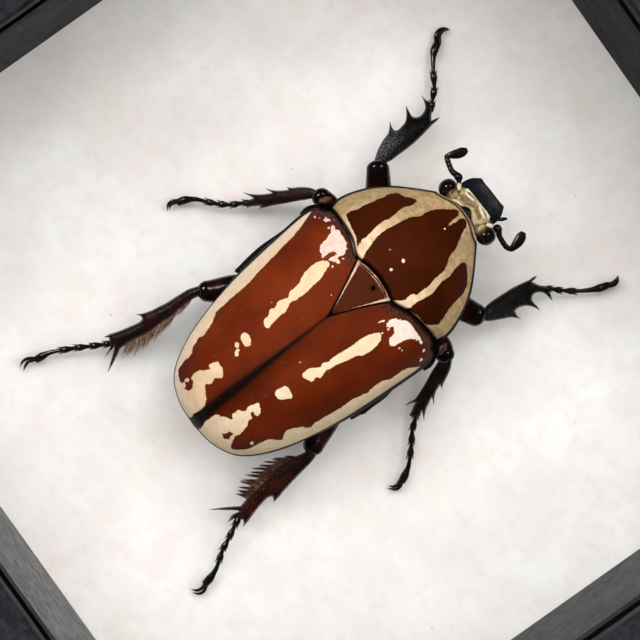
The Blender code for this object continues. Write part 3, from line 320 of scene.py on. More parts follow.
# Two shades, roughness and depth of the pits
SHIN_LOOKS = {
    "front_left": ("080707", "130f0f", 0.25, 0.2),
    "front_right": ("080707", "130f0f", 0.25, 0.2),
    "mid_left": ("160a09", "2e120d", 0.3, 0.03),
    "mid_right": ("100808", "20100c", 0.3, 0.03),
    "hind_left": ("140908", "2c110b", 0.26, 0.03),
    "hind_right": ("1c0b07", "3c160a", 0.2, 0.05),
}
SHIN_PAINTED_SHEEN = {"front_left": 0.5, "front_right": 0.1}  # how grey a shin is by its knee, grey specks of painted sheen on its pits
TURNED_SHINS = ("front_left", "mid_right", "hind_right")  # with the outer side to the left
SHIN_GLOSS = {"front": (0.03, 0.2), "mid": (0.06, 0.3), "hind": (0.06, 0.3)}  # coat and specular level
SHIN_RISE = {"front": 1.0, "mid": 0.85, "hind": 1.0}  # from its plane to its top
SHIN_SHOULDER = {"front": 1.8, "mid": 1.1, "hind": 1.5}  # how far in from its outline it is at full height
SHIN_BEAD = 0.06
BLADE_STEP = 0.14  # between points inside a shin's outline
SPINE_SEED = 5
# Comb of a hind tibia: tufts, bristles in one, how far they stray, their width, and how dark their tips are
FRINGES = {"hind_left": (18, 26, 0.36, 0.065, 0.55), "hind_right": (13, 60, 0.09, 0.1, 1.0)}
FRINGE_ALONG = {"hind_left": (1.2, 14.4), "hind_right": (2.0, 12.6)}
FRINGE_REACH = {"hind_left": 4.0, "hind_right": 4.0}
UNDERFUR = {"hind_left": 120, "hind_right": 700}  # short dark bristles at the roots of the comb
FRINGE_SHADE = {"hind_left": 0.0, "hind_right": 0.35}  # how dark each bristle is at least
FRINGE_LEANS = {"hind_left": (60, 42), "hind_right": (42, 33)}  # degrees, by the knee and by the foot
FRINGE_SEED = 11
HAIR_STEPS, HAIR_SIDES = 7, 3
PATCH = 0.003  # size of a bristle's patch on its map

TRUNK_VOXEL, PLATE_VOXEL = 0.22, 0.1  # grain of the skins of the trunk and of the shoulder plates
# The dark plates of the flanks that show beside the wing cases, in pixels, and their height
FLANK_OUTLINES = {
    "left": ((234.6, 270.5), (239.6, 265.4), (245.6, 259.2), (255.6, 249.8), (262.5, 244.2), (269.7, 239.2),
             (277, 234.2), (283.7, 229.4), (290, 223.6), (296.4, 218), (303, 213), (306, 214), (297, 222),
             (284, 234), (275, 243), (266, 252), (257, 261), (248, 270), (242, 275), (237, 273)),
    "right": ((352, 411), (351, 419.6), (361.5, 414.2), (371.9, 407.7), (383.2, 399.7), (390.7, 392.2),
              (396, 385.5), (392, 382), (380, 391), (366, 401)),
}
FLANK_HEIGHT = 10.0
FLANK_RISE, FLANK_SHOULDER = 0.4, 0.6

# Markings, as closed outlines in pixels of the photograph
CREAM_MARKS = {
    "elytron_left": (
        ((324, 260.6), (327.5, 261), (329.5, 264.2), (327.3, 268.1), (325.1, 271.9), (322.3, 276.3),
         (319.1, 280.1), (314.7, 283.9), (310.3, 288.3), (304.8, 293.2), (300.5, 296.5), (296.1, 299.8),
         (292.3, 301.4), (289.5, 304.2), (287.3, 308), (285.1, 311.8), (280.8, 315.1), (276.4, 318.9),
         (273.1, 322.8), (269.8, 327.1), (267.1, 328.2), (264.9, 326.6), (264.1, 322.8), (264.9, 318.4),
         (267.6, 316.7), (269.3, 312.4), (270.4, 308.5), (274.2, 308.5), (276.9, 304.7), (278, 301.4),
         (281.9, 299.8), (285.1, 298.1), (288.4, 298.1), (289.5, 292.7), (291.7, 289.9), (294.4, 287.7),
         (298.3, 283.9), (299.9, 281.2), (301.6, 277.4), (304.8, 272.4), (309.2, 268.1), (314.7, 263.7),
         (320.1, 261.3)),
        ((241.9, 334.2), (244.1, 332.6), (246.8, 333.7), (249.6, 336.4), (251.2, 341.4), (250.1, 345.2),
         (247.4, 346.8), (244.7, 345.7), (242.5, 341.9), (240.8, 338.6)),
        ((235.4, 342.5), (238.1, 342.5), (239, 345.7), (238.1, 348.5), (240.3, 350.1), (238.6, 351.8),
         (238.6, 355), (236.5, 356.3), (234.8, 355), (235, 351.2), (237, 349), (235, 346.3)),
        ((318, 206), (312, 211), (306.5, 219), (300.7, 226.6), (296, 233), (290.5, 239), (285, 244),
         (279, 250.5), (270.4, 259.8), (260, 270.2), (249.6, 281.7), (240, 290.5), (232.1, 297.6), (225, 304),
         (217, 311), (214.7, 316), (211.5, 324), (206.5, 331.4), (203, 336), (199, 337), (196.5, 342),
         (193.5, 346), (192, 352), (190.3, 356), (187.8, 358.1), (184.9, 360.3), (183.1, 363.1),
         (180.9, 365.6), (179.3, 367.5), (178.6, 370), (178.4, 373.1), (178.6, 376.3), (179, 379.4),
         (180.3, 381.9), (181.6, 383.6), (183.1, 382.2), (184.3, 381.6), (185.6, 384.4), (185.3, 386.9),
         (184, 389.4), (186.2, 389.3), (188.1, 390.8), (189.6, 390), (191.5, 388.8), (192.9, 387.2),
         (192.4, 385), (193.4, 382.5), (192.8, 380.3), (191.5, 378.8), (192, 376.3), (193.4, 374.1),
         (195.9, 372.2), (199, 370.6), (203.4, 370.3), (207.1, 369.9), (210.4, 368.9), (209.3, 366.9),
         (209.1, 365.3), (210.9, 363.8), (213.4, 362.4), (215.9, 361.8), (218.1, 362), (219.3, 364.1),
         (221.2, 366.3), (222.6, 368.4), (223.1, 371.3), (222.9, 375), (222.4, 377.8), (219.6, 378.1),
         (215.9, 377.8), (214.6, 377.8), (213.7, 380), (212.4, 382.5), (211.2, 384.1), (209, 384.1),
         (205.6, 384.1), (205.3, 387.5), (205.4, 391.3), (205.9, 395.6), (206.2, 398.8), (205.9, 402.5),
         (204.6, 406.3), (202.1, 408.8), (199.6, 410.6), (196.5, 412.5), (193.7, 413.4), (192.8, 415.9),
         (190, 417), (176, 412), (166, 380), (172, 350), (200, 308), (236, 263), (290, 215), (308, 200)),
    ),
    "elytron_right": (
        ((379.1, 332.8), (381.4, 336.7), (379.8, 342.2), (374.4, 347.7), (369.7, 351.6), (363.4, 354.7),
         (355.6, 356.3), (349.4, 359.4), (340, 363.3), (333.8, 366.4), (329.1, 369.5), (325.9, 370.3),
         (323.6, 374.2), (320.5, 377.8), (316.6, 377.3), (314.2, 379.7), (311.1, 381.6), (307.2, 379.7),
         (303.3, 377.3), (302.8, 373.4), (306.4, 370.3), (311.9, 368), (319.7, 367.2), (322.8, 363.3),
         (329.1, 361.7), (331.4, 358.6), (340, 353.1), (349.4, 347.7), (358.8, 340.6), (368.1, 335.2),
         (374.4, 333.6)),
        ((275.2, 393.8), (276.7, 389.8), (280.6, 388.3), (284.5, 385.9), (288.4, 387.5), (290, 391.4),
         (292.3, 394.5), (290.8, 398.4), (286.1, 398.8), (281.4, 400), (277.5, 398.1)),
        ((258.9, 403.3), (259.4, 406.7), (260.7, 409.3), (260.4, 412.4), (258.6, 415.5), (256.6, 416),
         (254.2, 414.5), (252.9, 412.4), (251.4, 412.4), (251, 415), (251.9, 417.6), (250.8, 420),
         (248.4, 420.4), (247.9, 423.3), (246.7, 426.5), (244.6, 429), (242.5, 431.7), (239.6, 434.3),
         (236.8, 435.8), (234.9, 436.4), (234.2, 439), (232.6, 441.6), (231.6, 444.2), (230.7, 446.3),
         (232.1, 448.9), (235.2, 449.6), (239.4, 449.9), (244.6, 449.6), (250.8, 447.8), (255, 446),
         (259.2, 443.6), (263.3, 441.6), (266.5, 440), (270.6, 439.2), (274.8, 439.8), (279.9, 440),
         (282.8, 439.5), (283.3, 436), (285.6, 432), (290.2, 428.9), (299.4, 427.4), (302.8, 426.5),
         (304.5, 427.4), (310.3, 427.4), (314.3, 423.4), (320, 420), (329.2, 414.3), (338.3, 409.7),
         (349.8, 401.1), (359, 396.5), (368.1, 392.5), (370.4, 389.9), (374.8, 386.1), (381.3, 381.4),
         (389.8, 379.5), (394.4, 376.3), (402.9, 370.6), (409.4, 367.8), (418.8, 366.9), (424.4, 364.1),
         (430.1, 360.3), (440, 366), (400, 400), (350, 428), (300, 452), (255, 468), (215, 460), (190, 438),
         (200.5, 428.5), (203.3, 425), (205.3, 421.7), (210.3, 418.3), (214.9, 415), (218.7, 415.2),
         (221.2, 416.7), (226.2, 417.1), (229.5, 418.8), (232.8, 419.8), (232, 415.4), (232.6, 413.6),
         (235.5, 412.8), (237.5, 410.2), (240, 409.9), (241.8, 411.3), (245.8, 410.9), (247.5, 407.6),
         (250.2, 405.3), (254.2, 404.4), (256.8, 403.1)),
    ),
}
# Dark panels of the pronotum, which is cream outside them
PANELS = (
    ((346.7, 214.2), (352, 210.6), (358.2, 208.8), (363, 205.8), (370.3, 202.7), (377.6, 199), (383.6, 197.3),
     (389.7, 193.6), (397, 193), (404.2, 196), (411.5, 197.9), (416.5, 199.7), (415.5, 202.7), (411.5, 205.2),
     (406.6, 206.4), (400.6, 209.4), (395.7, 213.6), (390.9, 217.9), (384.8, 220.3), (378.8, 224.5),
     (372.7, 230.6), (367.9, 235.5), (363, 239), (359.4, 244), (357.4, 246), (356.4, 239), (353.3, 231.8),
     (350.3, 225.2), (347.3, 218.5)),
    ((363.6, 257.3), (366, 252.4), (369, 247.6), (372.7, 242.7), (376.3, 237.9), (381.2, 233), (387.3, 228.8),
     (393.3, 225.8), (399.4, 222.7), (406.6, 218.5), (411.5, 216.7), (420, 216), (426, 212.4), (432, 210),
     (439.4, 209), (449, 209.4), (454.5, 208.8), (458.6, 211.2), (458.6, 215), (455.8, 217.6), (450, 222.6),
     (447.6, 226.6), (452.9, 223.7), (457.8, 220.3), (463, 217.9), (466, 220.9), (466, 227), (462.4, 233),
     (458.8, 241.5), (455.8, 248.8), (451.5, 253.6), (448.5, 259.7), (446.7, 265.7), (443, 271.8),
     (437, 276.7), (432.1, 282.1), (427.3, 287), (420, 292.4), (416.4, 294.8), (412.7, 293.9), (407.9, 296.7),
     (405.4, 299.7), (400.6, 300.9), (393.9, 300.3), (386, 302), (376, 284), (362, 264)),
    ((405.4, 309), (411.5, 307), (415, 303.3), (421.2, 299.7), (428.5, 296), (434.5, 291), (439.4, 284),
     (445.4, 279), (449, 276.7), (453.9, 270.6), (458.8, 265), (463.6, 262), (466.7, 267), (467.9, 279),
     (465.4, 290), (458.8, 298.5), (450.9, 307), (441.8, 320.3), (437, 324.5), (426, 324.5), (419.5, 317.5),
     (412.7, 312)),
)
WHITE_MARKS = {
    "elytron_left": (
        ((330.9, 227.4), (331.7, 225.5), (333.5, 225.2), (334.6, 227), (335.7, 229.6), (339, 229.9),
         (340, 232.1), (341.2, 234.3), (343.4, 236.5), (344.8, 239.4), (346.3, 242), (346.6, 243.8),
         (345.9, 245.6), (346.3, 247.4), (347.9, 248.8), (346.3, 249.6), (345, 250.4), (345.2, 253.3),
         (344.1, 254.7), (341.9, 255.5), (339, 256.9), (337.5, 258), (338.2, 259.5), (339.7, 261.3),
         (339.3, 263.5), (337.5, 263.5), (336.1, 262), (333.9, 261.7), (331.7, 260.9), (329.5, 260.6),
         (328, 259.5), (330.2, 258.4), (333.1, 256.6), (336.1, 255.1), (337.4, 253.6), (335.3, 252.4),
         (331.7, 252), (328.8, 252.7), (326.6, 254.4), (324.4, 256.2), (322.2, 258), (321.6, 256.2),
         (321.6, 254), (320.4, 252.2), (319.9, 249.6), (320, 246.7), (321.6, 243.8), (324.4, 240.9),
         (327, 238.7), (328, 236.1), (329.8, 233.9), (330.6, 231.4)),
    ),
    "elytron_right": (
        ((388.5, 320.9), (390, 319.8), (392.5, 319.1), (395.1, 318.4), (396.9, 318.6), (398.3, 319.8),
         (400.5, 318.4), (401.3, 320.2), (404.2, 320.2), (407.1, 320.6), (409.3, 322.8), (411.5, 325.3),
         (413.7, 328.2), (415.8, 331.9), (418, 335.2), (419.9, 337), (421, 339.9), (422.8, 342.1),
         (423.1, 343.9), (421, 344.3), (419.5, 342.8), (418.8, 340.6), (416.6, 340.3), (414.4, 339.2),
         (411.5, 338.8), (406.4, 339.5), (403.4, 341), (399.8, 342.5), (396.2, 345), (393.2, 346.1),
         (391, 345.7), (389.6, 343.9), (389.2, 340.6), (390, 338.1), (392.1, 335.9), (393.6, 334.1),
         (394.3, 331.2), (394.3, 327.5), (392.5, 326.4), (390.3, 327.5), (388.1, 327.1), (386.3, 326.8),
         (387, 324.6), (385.6, 323.5), (387.4, 322.8)),
        ((379, 321.6), (384, 320.2), (384.2, 321.6), (379.3, 323)),
    ),
}
# Round spots: x, y, radius, in pixels
WHITE_SPOTS = {
    "elytron_left": ((314.7, 216.9, 1.0), (319.4, 218.2, 1.1), (325.8, 219.7, 2.2), (329.5, 220.4, 1.0),
                     (334.4, 219.8, 0.6), (328.8, 227.7, 1.2), (343.2, 258.7, 1.2), (332.6, 266.8, 1.1),
                     (187, 380.2, 2.1), (331.5, 295.2, 0.7), (271.6, 302.5, 0.7)),
    "elytron_right": ((388.1, 329.3, 1.1), (382.3, 333, 0.9), (399.4, 348.3, 0.8), (402, 350.8, 0.5),
                      (423.7, 350.7, 1.5), (421.7, 359.2, 1.2), (419.9, 360.7, 0.8), (251.8, 443.2, 1.6),
                      (300.5, 362.3, 0.7)),
    "pronotum": ((444.7, 228.8, 1.0), (403.3, 261, 1.8), (391.2, 269.6, 1.5), (389.8, 249.6, 0.4)),
}
# Dark spots inside the cream
DARK_MARKS = {
    "elytron_right": (
        ((221.8, 433.2), (224.2, 433.9), (226.3, 433.6), (227.8, 432.2), (229.4, 431.2), (230.6, 432.6),
         (233, 433.2), (232.3, 435.4), (230.3, 436.8), (229.8, 439), (227.9, 439.6), (226.8, 438.2),
         (225.2, 439.3), (223.7, 438.6), (222.9, 436.4)),
    ),
}
# Head: the black of the nape, partly a black bead and partly painted shadow in the gap before the pronotum,
# the pale lines of its two lozenges, partly their own cream and partly a painted highlight, their hollows,
# and brown patches
HEAD_BLACK = (
    ((461.5, 207), (465, 206.5), (469, 208.3), (471, 211.5), (471.4, 216), (471, 221.5), (468.5, 219),
     (466, 214.5), (463.5, 210.5)),
)
HEAD_PALE = (
    ((463.8, 187.6), (468, 188), (472.5, 191.3), (476.5, 195.8), (480.3, 200.3), (478.3, 201), (474.2, 196.7),
     (470.2, 192.8), (466, 190.2)),
    ((465.7, 191.6), (468.3, 194.3), (472.2, 197.6), (474.4, 200.2), (472.6, 200.6), (468.6, 197.2),
     (465.3, 194)),
    ((480.3, 201), (483, 203.2), (486.3, 207.8), (488.8, 213.3), (490.2, 219), (488.2, 219.4), (486.2, 214.2),
     (483.6, 209.2), (481, 205)),
    ((480, 206.3), (482.3, 210), (484, 214.6), (486, 218.4), (483.4, 218.6), (481.2, 214.2), (479.4, 209.6)),
    ((447, 197.3), (453, 198.8), (458, 201.5), (461, 204.5), (459, 205.3), (454, 201.6), (448, 199.6)),
)
HEAD_HOLLOW = (
    ((468, 191.8), (472, 195), (476.5, 200), (474.8, 199.4), (470, 195.4)),
    ((481.8, 206), (484, 209.5), (486.5, 215), (486.6, 218), (484.6, 213.8), (482.4, 209.3)),
)
HEAD_BROWN = (
    ((460, 196), (464, 194.5), (469, 199), (474, 202.5), (477.5, 206), (479, 211.5), (481, 217.5),
     (478.5, 219), (476.5, 213), (474, 207.5), (469, 205.5), (463.5, 203)),
    ((446.5, 192), (452, 189.6), (457, 190), (458.5, 195), (456, 199), (449, 197.5)),
    ((473.5, 226.5), (478, 224), (484, 227.5), (488, 231), (482, 234.5), (475.5, 233)),
)

# Shells: two shades, white, two shades of cream, two of dull cream, and how ragged the markings are. The left
# wing case's dull creams are lighter as painted light on its shaded steep rim, and the wing cases' white is
# partly a painted highlight on the shoulder bumps.
SHELLS = {
    "wing_case_left_shell": ("5e1d08", "742b0c", "d9bba8", ("dfc098", "ebcba6"), ("e0ccb6", "f0dbc5"), 1.0),
    "wing_case_right_shell": ("521b08", "67240a", "e9dccb", ("e5caa4", "f2d8b7"), ("b3a67c", "cdbd96"), 1.0),
    "pronotum_dark": ("321002", "421602", "ebd3c7", ("ceb089", "ecd0ab"), ("8f7852", "ba9c74"), 1.0),
    "scutellum_dark": ("401a0a", "4f220c", "e0c0b0", ("b08a74", "e2c0aa"), ("b3a67c", "cdbd96"), 0.4),
}
# Noises that fray the markings, as size, detail and reach, and half the width of the soft edge of a marking
CREAM_FRAYS = ((0.7, 3.0, 0.16), (0.25, 2.0, 0.16))
WHITE_FRAYS = (*CREAM_FRAYS, (0.4, 2.0, 0.12))
MARK_EDGE = 0.03
# Clouds of the paper: shade, size, where its noise starts and ends, how strong it gets, and detail
PAPER_CLOUDS = (
    ("e6e2de", 14, 0.35, 0.68, 1.0, 5.0),
    ("f1ddd8", 9, 0.52, 0.72, 0.5, 4.0),
    ("e6e1d0", 11, 0.55, 0.75, 0.5, 4.0),
    ("dcd8d6", 2.6, 0.5, 0.7, 0.33, 3.0),
    ("efdcd5", 3.4, 0.52, 0.7, 0.3, 3.0),
)


# Curves and shapes


def graph(stations):
    """A smooth function through the stations that doesn't overshoot them."""
    xs, ys = np.array(sorted(stations), float).T
    step = np.diff(ys) / np.diff(xs)
    slope = np.concatenate([step[:1], (step[1:] + step[:-1]) / 2, step[-1:]])
    turning = np.concatenate([[False], step[1:] * step[:-1] <= 0, [False]])
    slope[turning] = 0

    def value(x):
        x = np.clip(x, xs[0], xs[-1])
        k = np.clip(np.searchsorted(xs, x) - 1, 0, len(xs) - 2)
        width = xs[k + 1] - xs[k]
        t = (x - xs[k]) / width
        rise = (3 * t**2 - 2 * t**3) * (ys[k + 1] - ys[k])
        return ys[k] + rise + width * (t * (1 - t) ** 2 * slope[k] - t**2 * (1 - t) * slope[k + 1])

    return value


def eased(values, count):
    """Numbers at even steps that pass smoothly through the given values."""
    return graph(list(zip(np.linspace(0, 1, len(values)), values)))(np.linspace(0, 1, count))


def catmull_rom(ends, per_span):
    """Points on the spans of a Catmull-Rom curve, without its last point."""
    t = np.linspace(0, 1, per_span, endpoint=False)[:, None]
    return np.vstack([
        0.5 * (2 * b + (c - a) * t + (2 * a - 5 * b + 4 * c - d) * t**2 + (3 * b - a - 3 * c + d) * t**3)
        for a, b, c, d in zip(ends, ends[1:], ends[2:], ends[3:])
    ])


def evenly(path, count):
    """Points evenly spaced along the straight runs of a path."""
    run = np.concatenate([[0], np.cumsum(np.linalg.norm(np.diff(path, axis=0), axis=1))])
    at = np.linspace(0, run[-1], count)
    return np.stack([np.interp(at, run, column) for column in path.T], axis=1)


def curve_points(points, count):
    """Points evenly spaced along a smooth curve through the given points."""
    knots = np.array(points, float)
    ends = np.vstack([2 * knots[0] - knots[1], knots, 2 * knots[-1] - knots[-2]])
    return evenly(np.vstack([catmull_rom(ends, 12), knots[-1:]]), count)


def smooth_loop(outline):
    """Points on a smooth closed curve through those of an outline."""
    knots = np.array(outline, float)
    return catmull_rom(np.vstack([knots[-1:], knots, knots[:2]]), 4)


def dome(ratio, powers):
    """Height of an arched cross-section, 1 in the middle and 0 at its side."""
    return (1 - np.clip(np.abs(ratio), 0, 1) ** powers[0]) ** powers[1]


def hump(distance, width):
    """1 where the distance is 0, and falling off on both sides of it."""
    return np.exp(-((distance / width) ** 2))


def beads(distance, rows):
    """Sum of beads and grooves, each given as height, distance and width."""
    return sum(height * hump(distance - at, width) for height, at, width in rows)


def step_down(value, low, high):
    """1 below low, 0 above high, and smooth between."""
    t = np.clip((high - value) / (high - low), 0, 1)
    return t * t * (3 - 2 * t)


def ramp(value, start, length):
    """0 up to the start, 1 from one length further on, and straight between."""
    return np.clip((value - start) / length, 0, 1)


def steps_along(rows):
    """A column of numbers from 0 in the first row to 1 in the last."""
    return (np.arange(rows) / (rows - 1))[:, None]


def steps_across(columns):
    """A row of numbers from -1 to 1 that lie closer towards both ends."""
    return np.sin(np.linspace(-math.pi / 2, math.pi / 2, columns))[None, :]


def half_width_graph(outline):
    """Half the width of a smooth outline as a function of y."""
    side = curve_points(outline, 60)
    ascending = side[np.argsort(side[:, 1])]
    return lambda y: np.interp(y, ascending[:, 1], ascending[:, 0])


elytron_half_width = half_width_graph(ELYTRON_SIDE)
elytron_top = graph(ELYTRON_TOP)
elytron_edge = graph(ELYTRON_EDGE)
pronotum_top = graph(PRONOTUM_TOP)
pronotum_edge = graph(PRONOTUM_EDGE)
pronotum_under = graph(PRONOTUM_UNDER)
head_top = graph(HEAD_TOP)
head_edge = graph(HEAD_EDGE)
head_under = graph(HEAD_UNDER)
hind_line = graph(HIND_LINE)
front_line = graph(FRONT_LINE)


def back_height(x, y):
    """Height of the closed wing cases and the scutellum."""
    edge = elytron_edge(y)
    z = edge + (elytron_top(y) - edge) * dome(x / np.maximum(elytron_half_width(y), 0.1), ELYTRON_POWERS)
    for at_x, at_y, height, wide, long in BUMPS:
        z = z + height * np.exp(-(((np.abs(x) - at_x) / wide) ** 2) - ((y - at_y) / long) ** 2)
    behind = 1 / (1 + np.exp(y - SUTURE_RELIEF_Y[0]))
    return z + behind * beads(np.abs(x), SUTURE_BEADS) * ramp(y, SUTURE_RELIEF_Y[1], SUTURE_RELIEF_FADE)


# Frames of the case, the beetle and the photograph


def rotation(degrees_xyz):
    """A turn about x, then y, then z."""
    turn = np.identity(3)
    for axis, degrees in enumerate(degrees_xyz):
        c, s = math.cos(math.radians(degrees)), math.sin(math.radians(degrees))
        one = np.identity(3)
        a, b = (axis + 1) % 3, (axis + 2) % 3
        one[a, a], one[a, b], one[b, a], one[b, b] = c, -s, s, c
        turn = one @ turn
    return turn


def to_world(points, rolled=True):
    """Millimetres of the case's frame, from the beetle's own frame."""
    points = np.array(points, float)
    if rolled:
        pivot = np.array((0, 0, ROLL_HEIGHT))
        points = (points - pivot) @ rotation((0, BODY_ROLL, 0)).T + pivot
    return points @ rotation((0, 0, SPECIMEN_YAW)).T + np.array(SPECIMEN_PLACE)


def photo_pixels(points):
    """Where the photograph's camera sees points of the case's frame."""
    seen = (points - np.array(CAMERA_PLACE)) @ rotation(CAMERA_TURN)
    middle = PHOTO_SIZE / 2
    right = middle + FOCAL_PIXELS * seen[..., 0] / -seen[..., 2]
    down = middle - FOCAL_PIXELS * seen[..., 1] / -seen[..., 2]
    return np.stack([right, down], axis=-1)


def photo_rays(pixels):
    """Directions in the case's frame in which the photograph's camera sees its pixels."""
    right, down = np.array(pixels, float).T - PHOTO_SIZE / 2
    return np.stack([right, -down, np.full(len(right), -FOCAL_PIXELS)], axis=1) @ rotation(CAMERA_TURN).T


def from_photo(pixels, heights):
    """Points of the beetle's frame, before its roll, that the photograph shows at pixels."""
    rays = photo_rays(pixels)
    reach = (PAPER_TOP + np.array(heights) - CAMERA_PLACE[2]) / rays[:, 2]
    world = np.array(CAMERA_PLACE) + rays * reach[:, None] - np.array(SPECIMEN_PLACE)
    return world @ rotation((0, 0, SPECIMEN_YAW))


# Distances from outlines


def segment_distance(a, b, at):
    """Distance of points from the straight line between a and b."""
    run = b - a
    t = np.clip(((at - a) @ run) / max(run @ run, 1e-12), 0, 1)
    return np.linalg.norm(at - a - t[:, None] * run, axis=1)


def edge_distance(curve, x, y):
    """Distance in plan from the points of a grid to an open curve."""
    at = np.stack([np.ravel(x), np.ravel(y)], axis=1)
    nearest = np.min([segment_distance(a, b, at) for a, b in zip(curve, curve[1:])], axis=0)
    return nearest.reshape(x.shape)


def loop_distance(loop, at):
    """Signed distance from a closed outline of straight lines, negative inside it."""
    nearest = np.full(len(at), np.inf)
    inside = np.zeros(len(at), bool)
    for a, b in zip(loop, np.roll(loop, -1, axis=0)):
        nearest = np.minimum(nearest, segment_distance(a, b, at))
        if a[1] != b[1]:
            spans = (a[1] > at[:, 1]) != (b[1] > at[:, 1])
            inside ^= spans & (at[:, 0] < a[0] + (at[:, 1] - a[1]) * (b[0] - a[0]) / (b[1] - a[1]))
    return np.where(inside, -nearest, nearest)


def mark_distance(outlines, spots, at):
    """Signed distance in millimetres from markings drawn in pixels of the photograph."""
    distance = np.full(len(at), FAR_PIXELS)
    for outline in outlines:
        distance = np.minimum(distance, loop_distance(smooth_loop(outline), at))
    for x, y, radius in spots:
        distance = np.minimum(distance, np.hypot(at[:, 0] - x, at[:, 1] - y) - radius)
    return distance / PIXELS_PER_MM


def seen_marks(top, *groups):
    """Distances from groups of outlines and spots at the points of a grid, as the photograph shows them."""
    at = photo_pixels(to_world(top.reshape(-1, 3)))
    return [mark_distance(outlines, spots, at).reshape(top.shape[:2]) for outlines, spots in groups]


# Pieces


def as_object(name, mesh):
    """An object in the scene for a mesh."""
    made = bpy.data.objects.new(name, mesh)
    bpy.context.scene.collection.objects.link(made)
    return made


def settle(made, smooth=40):
    """Merges doubled points, turns the faces outwards and sets the shading."""
    build = bmesh.new()
    build.from_mesh(made.data)
    bmesh.ops.remove_doubles(build, verts=build.verts, dist=2e-6)
    bmesh.ops.dissolve_degenerate(build, edges=build.edges, dist=1e-7)
    bmesh.ops.recalc_face_normals(build, faces=build.faces)
    build.to_mesh(made.data)
    build.free()
    made.data.shade_smooth()
    made.data.set_sharp_from_angle(angle=math.radians(smooth))
    return made


def new_piece(name, verts, faces, rolled=True, values=None, smooth=40):
    """A mesh from points of the beetle's frame, with named numbers at its points."""
    mesh = bpy.data.meshes.new(name)
    mesh.from_pydata(to_world(verts, rolled) * MM, [], faces)
    for key, numbers in (values or {}).items():
        numbers = np.ravel(numbers).astype(np.float32)
        mesh.attributes.new(key, "FLOAT", "POINT").data.foreach_set("value", numbers)
    return settle(as_object(name, mesh), smooth)


def dress(piece, material, slot, *nodes):
    """Gives a piece its material and its place in the part."""
    piece.data.materials.clear()
    piece.data.materials.append(material)
    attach(piece, "root")
    if nodes:
        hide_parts(*nodes)
    return piece


def slab_faces(rows, columns):
    """Faces of a closed shell whose points are an upper grid and then a lower one."""
    count = rows * columns
    faces = []
    for i in range(rows - 1):
        for j in range(columns - 1):
            k = i * columns + j
            faces.append((k, k + 1, k + columns + 1, k + columns))
            faces.append((count + k, count + k + columns, count + k + columns + 1, count + k + 1))
    rim = list(range(columns)) + [i * columns + columns - 1 for i in range(1, rows)]
    rim += [(rows - 1) * columns + j for j in range(columns - 2, -1, -1)]
    rim += [i * columns for i in range(rows - 2, 0, -1)]
    return faces + [(a, count + a, count + b, b) for a, b in zip(rim, rim[1:] + rim[:1])]


def slab(name, top, bottom, below=None, **values):
    """A closed shell between two grids, with named numbers: values on the upper grid, below on the lower."""
    shape = top.shape[:2]
    both = {key: np.append(np.broadcast_to(values.get(key, 0.0), shape), np.full(shape, number))
            for key, number in (below or {}).items()}
    verts = np.concatenate([top.reshape(-1, 3), bottom.reshape(-1, 3)])
    return new_piece(name, verts, slab_faces(*shape), True, both)


def ring_faces(rings, sides):
    """Faces between rings of points, each ring joined to the next."""
    faces = []
    for k in range(rings - 1):
        for n in range(sides):
            a, b = k * sides + n, k * sides + (n + 1) % sides
            faces.append((a, b, b + sides, a + sides))
    return faces


def end_faces(rings, sides):
    """The two faces that close the first and the last ring."""
    return [tuple(range(sides)), tuple(range((rings - 1) * sides, rings * sides))]


def tube_mesh(path, widths, heights, sides):
    """Points and faces of a closed limb with an oval section whose width lies level."""
    path = np.array(path, float)
    along = np.gradient(path, axis=0)
    along /= np.linalg.norm(along, axis=1, keepdims=True)
    side = np.cross(along, (0, 0, 1))
    side /= np.maximum(np.linalg.norm(side, axis=1, keepdims=True), 1e-6)
    top = np.cross(side, along)
    angle = (2 * math.pi * (np.arange(sides) + 0.5) / sides)[None, :, None]
    half_wide = np.array(widths, float)[:, None, None] / 2
    half_high = np.array(heights, float)[:, None, None] / 2
    ring = side[:, None] * half_wide * np.cos(angle) + top[:, None] * half_high * np.sin(angle)
    verts = (path[:, None] + ring).reshape(-1, 3)
    return verts, ring_faces(len(path), sides) + end_faces(len(path), sides)


def joined(parts):
    """One list of points and one of faces from several."""
    verts, faces, first = [], [], 0
    for part_verts, part_faces in parts:
        verts.append(part_verts)
        faces += [tuple(first + k for k in face) for face in part_faces]
        first += len(part_verts)
    return np.concatenate(verts), faces


def limb(path, widths, heights, rows=24, sides=16):
    """A tube along a smooth path, with its width and height eased between the values given."""
    return tube_mesh(curve_points(path, rows), eased(widths, rows), eased(heights, rows), sides)


def ball(centre, radii, segments=24, rings=16):
    """Points and faces of an ellipsoid."""
    polar = np.linspace(0.02, math.pi - 0.02, rings)[:, None]
    angle = 2 * math.pi * np.arange(segments) / segments
    ring = np.stack([np.sin(polar) * np.cos(angle), np.sin(polar) * np.sin(angle),
                     np.cos(polar) * np.ones(segments)], axis=-1)
    verts = (np.array(centre) + ring * np.array(radii)).reshape(-1, 3)
    return verts, end_faces(rings, segments) + ring_faces(rings, segments)


def refined(name, node, voxel):
    """A finer and softer skin of a CAD node's own shape, whose overlapping forms it fuses."""
    made = as_object(name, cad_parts[node].data.copy())
    skin = made.modifiers.new("fuse", "REMESH")
    skin.mode = "VOXEL"
    skin.voxel_size = voxel * MM
    soften = made.modifiers.new("soften", "SMOOTH")
    soften.factor = 0.5
    soften.iterations = 4
    now = bpy.context.evaluated_depsgraph_get()
    mesh = bpy.data.meshes.new_from_object(made.evaluated_get(now))
    made.modifiers.clear()
    made.data = mesh
    mesh.shade_smooth()
    return made


# Materials


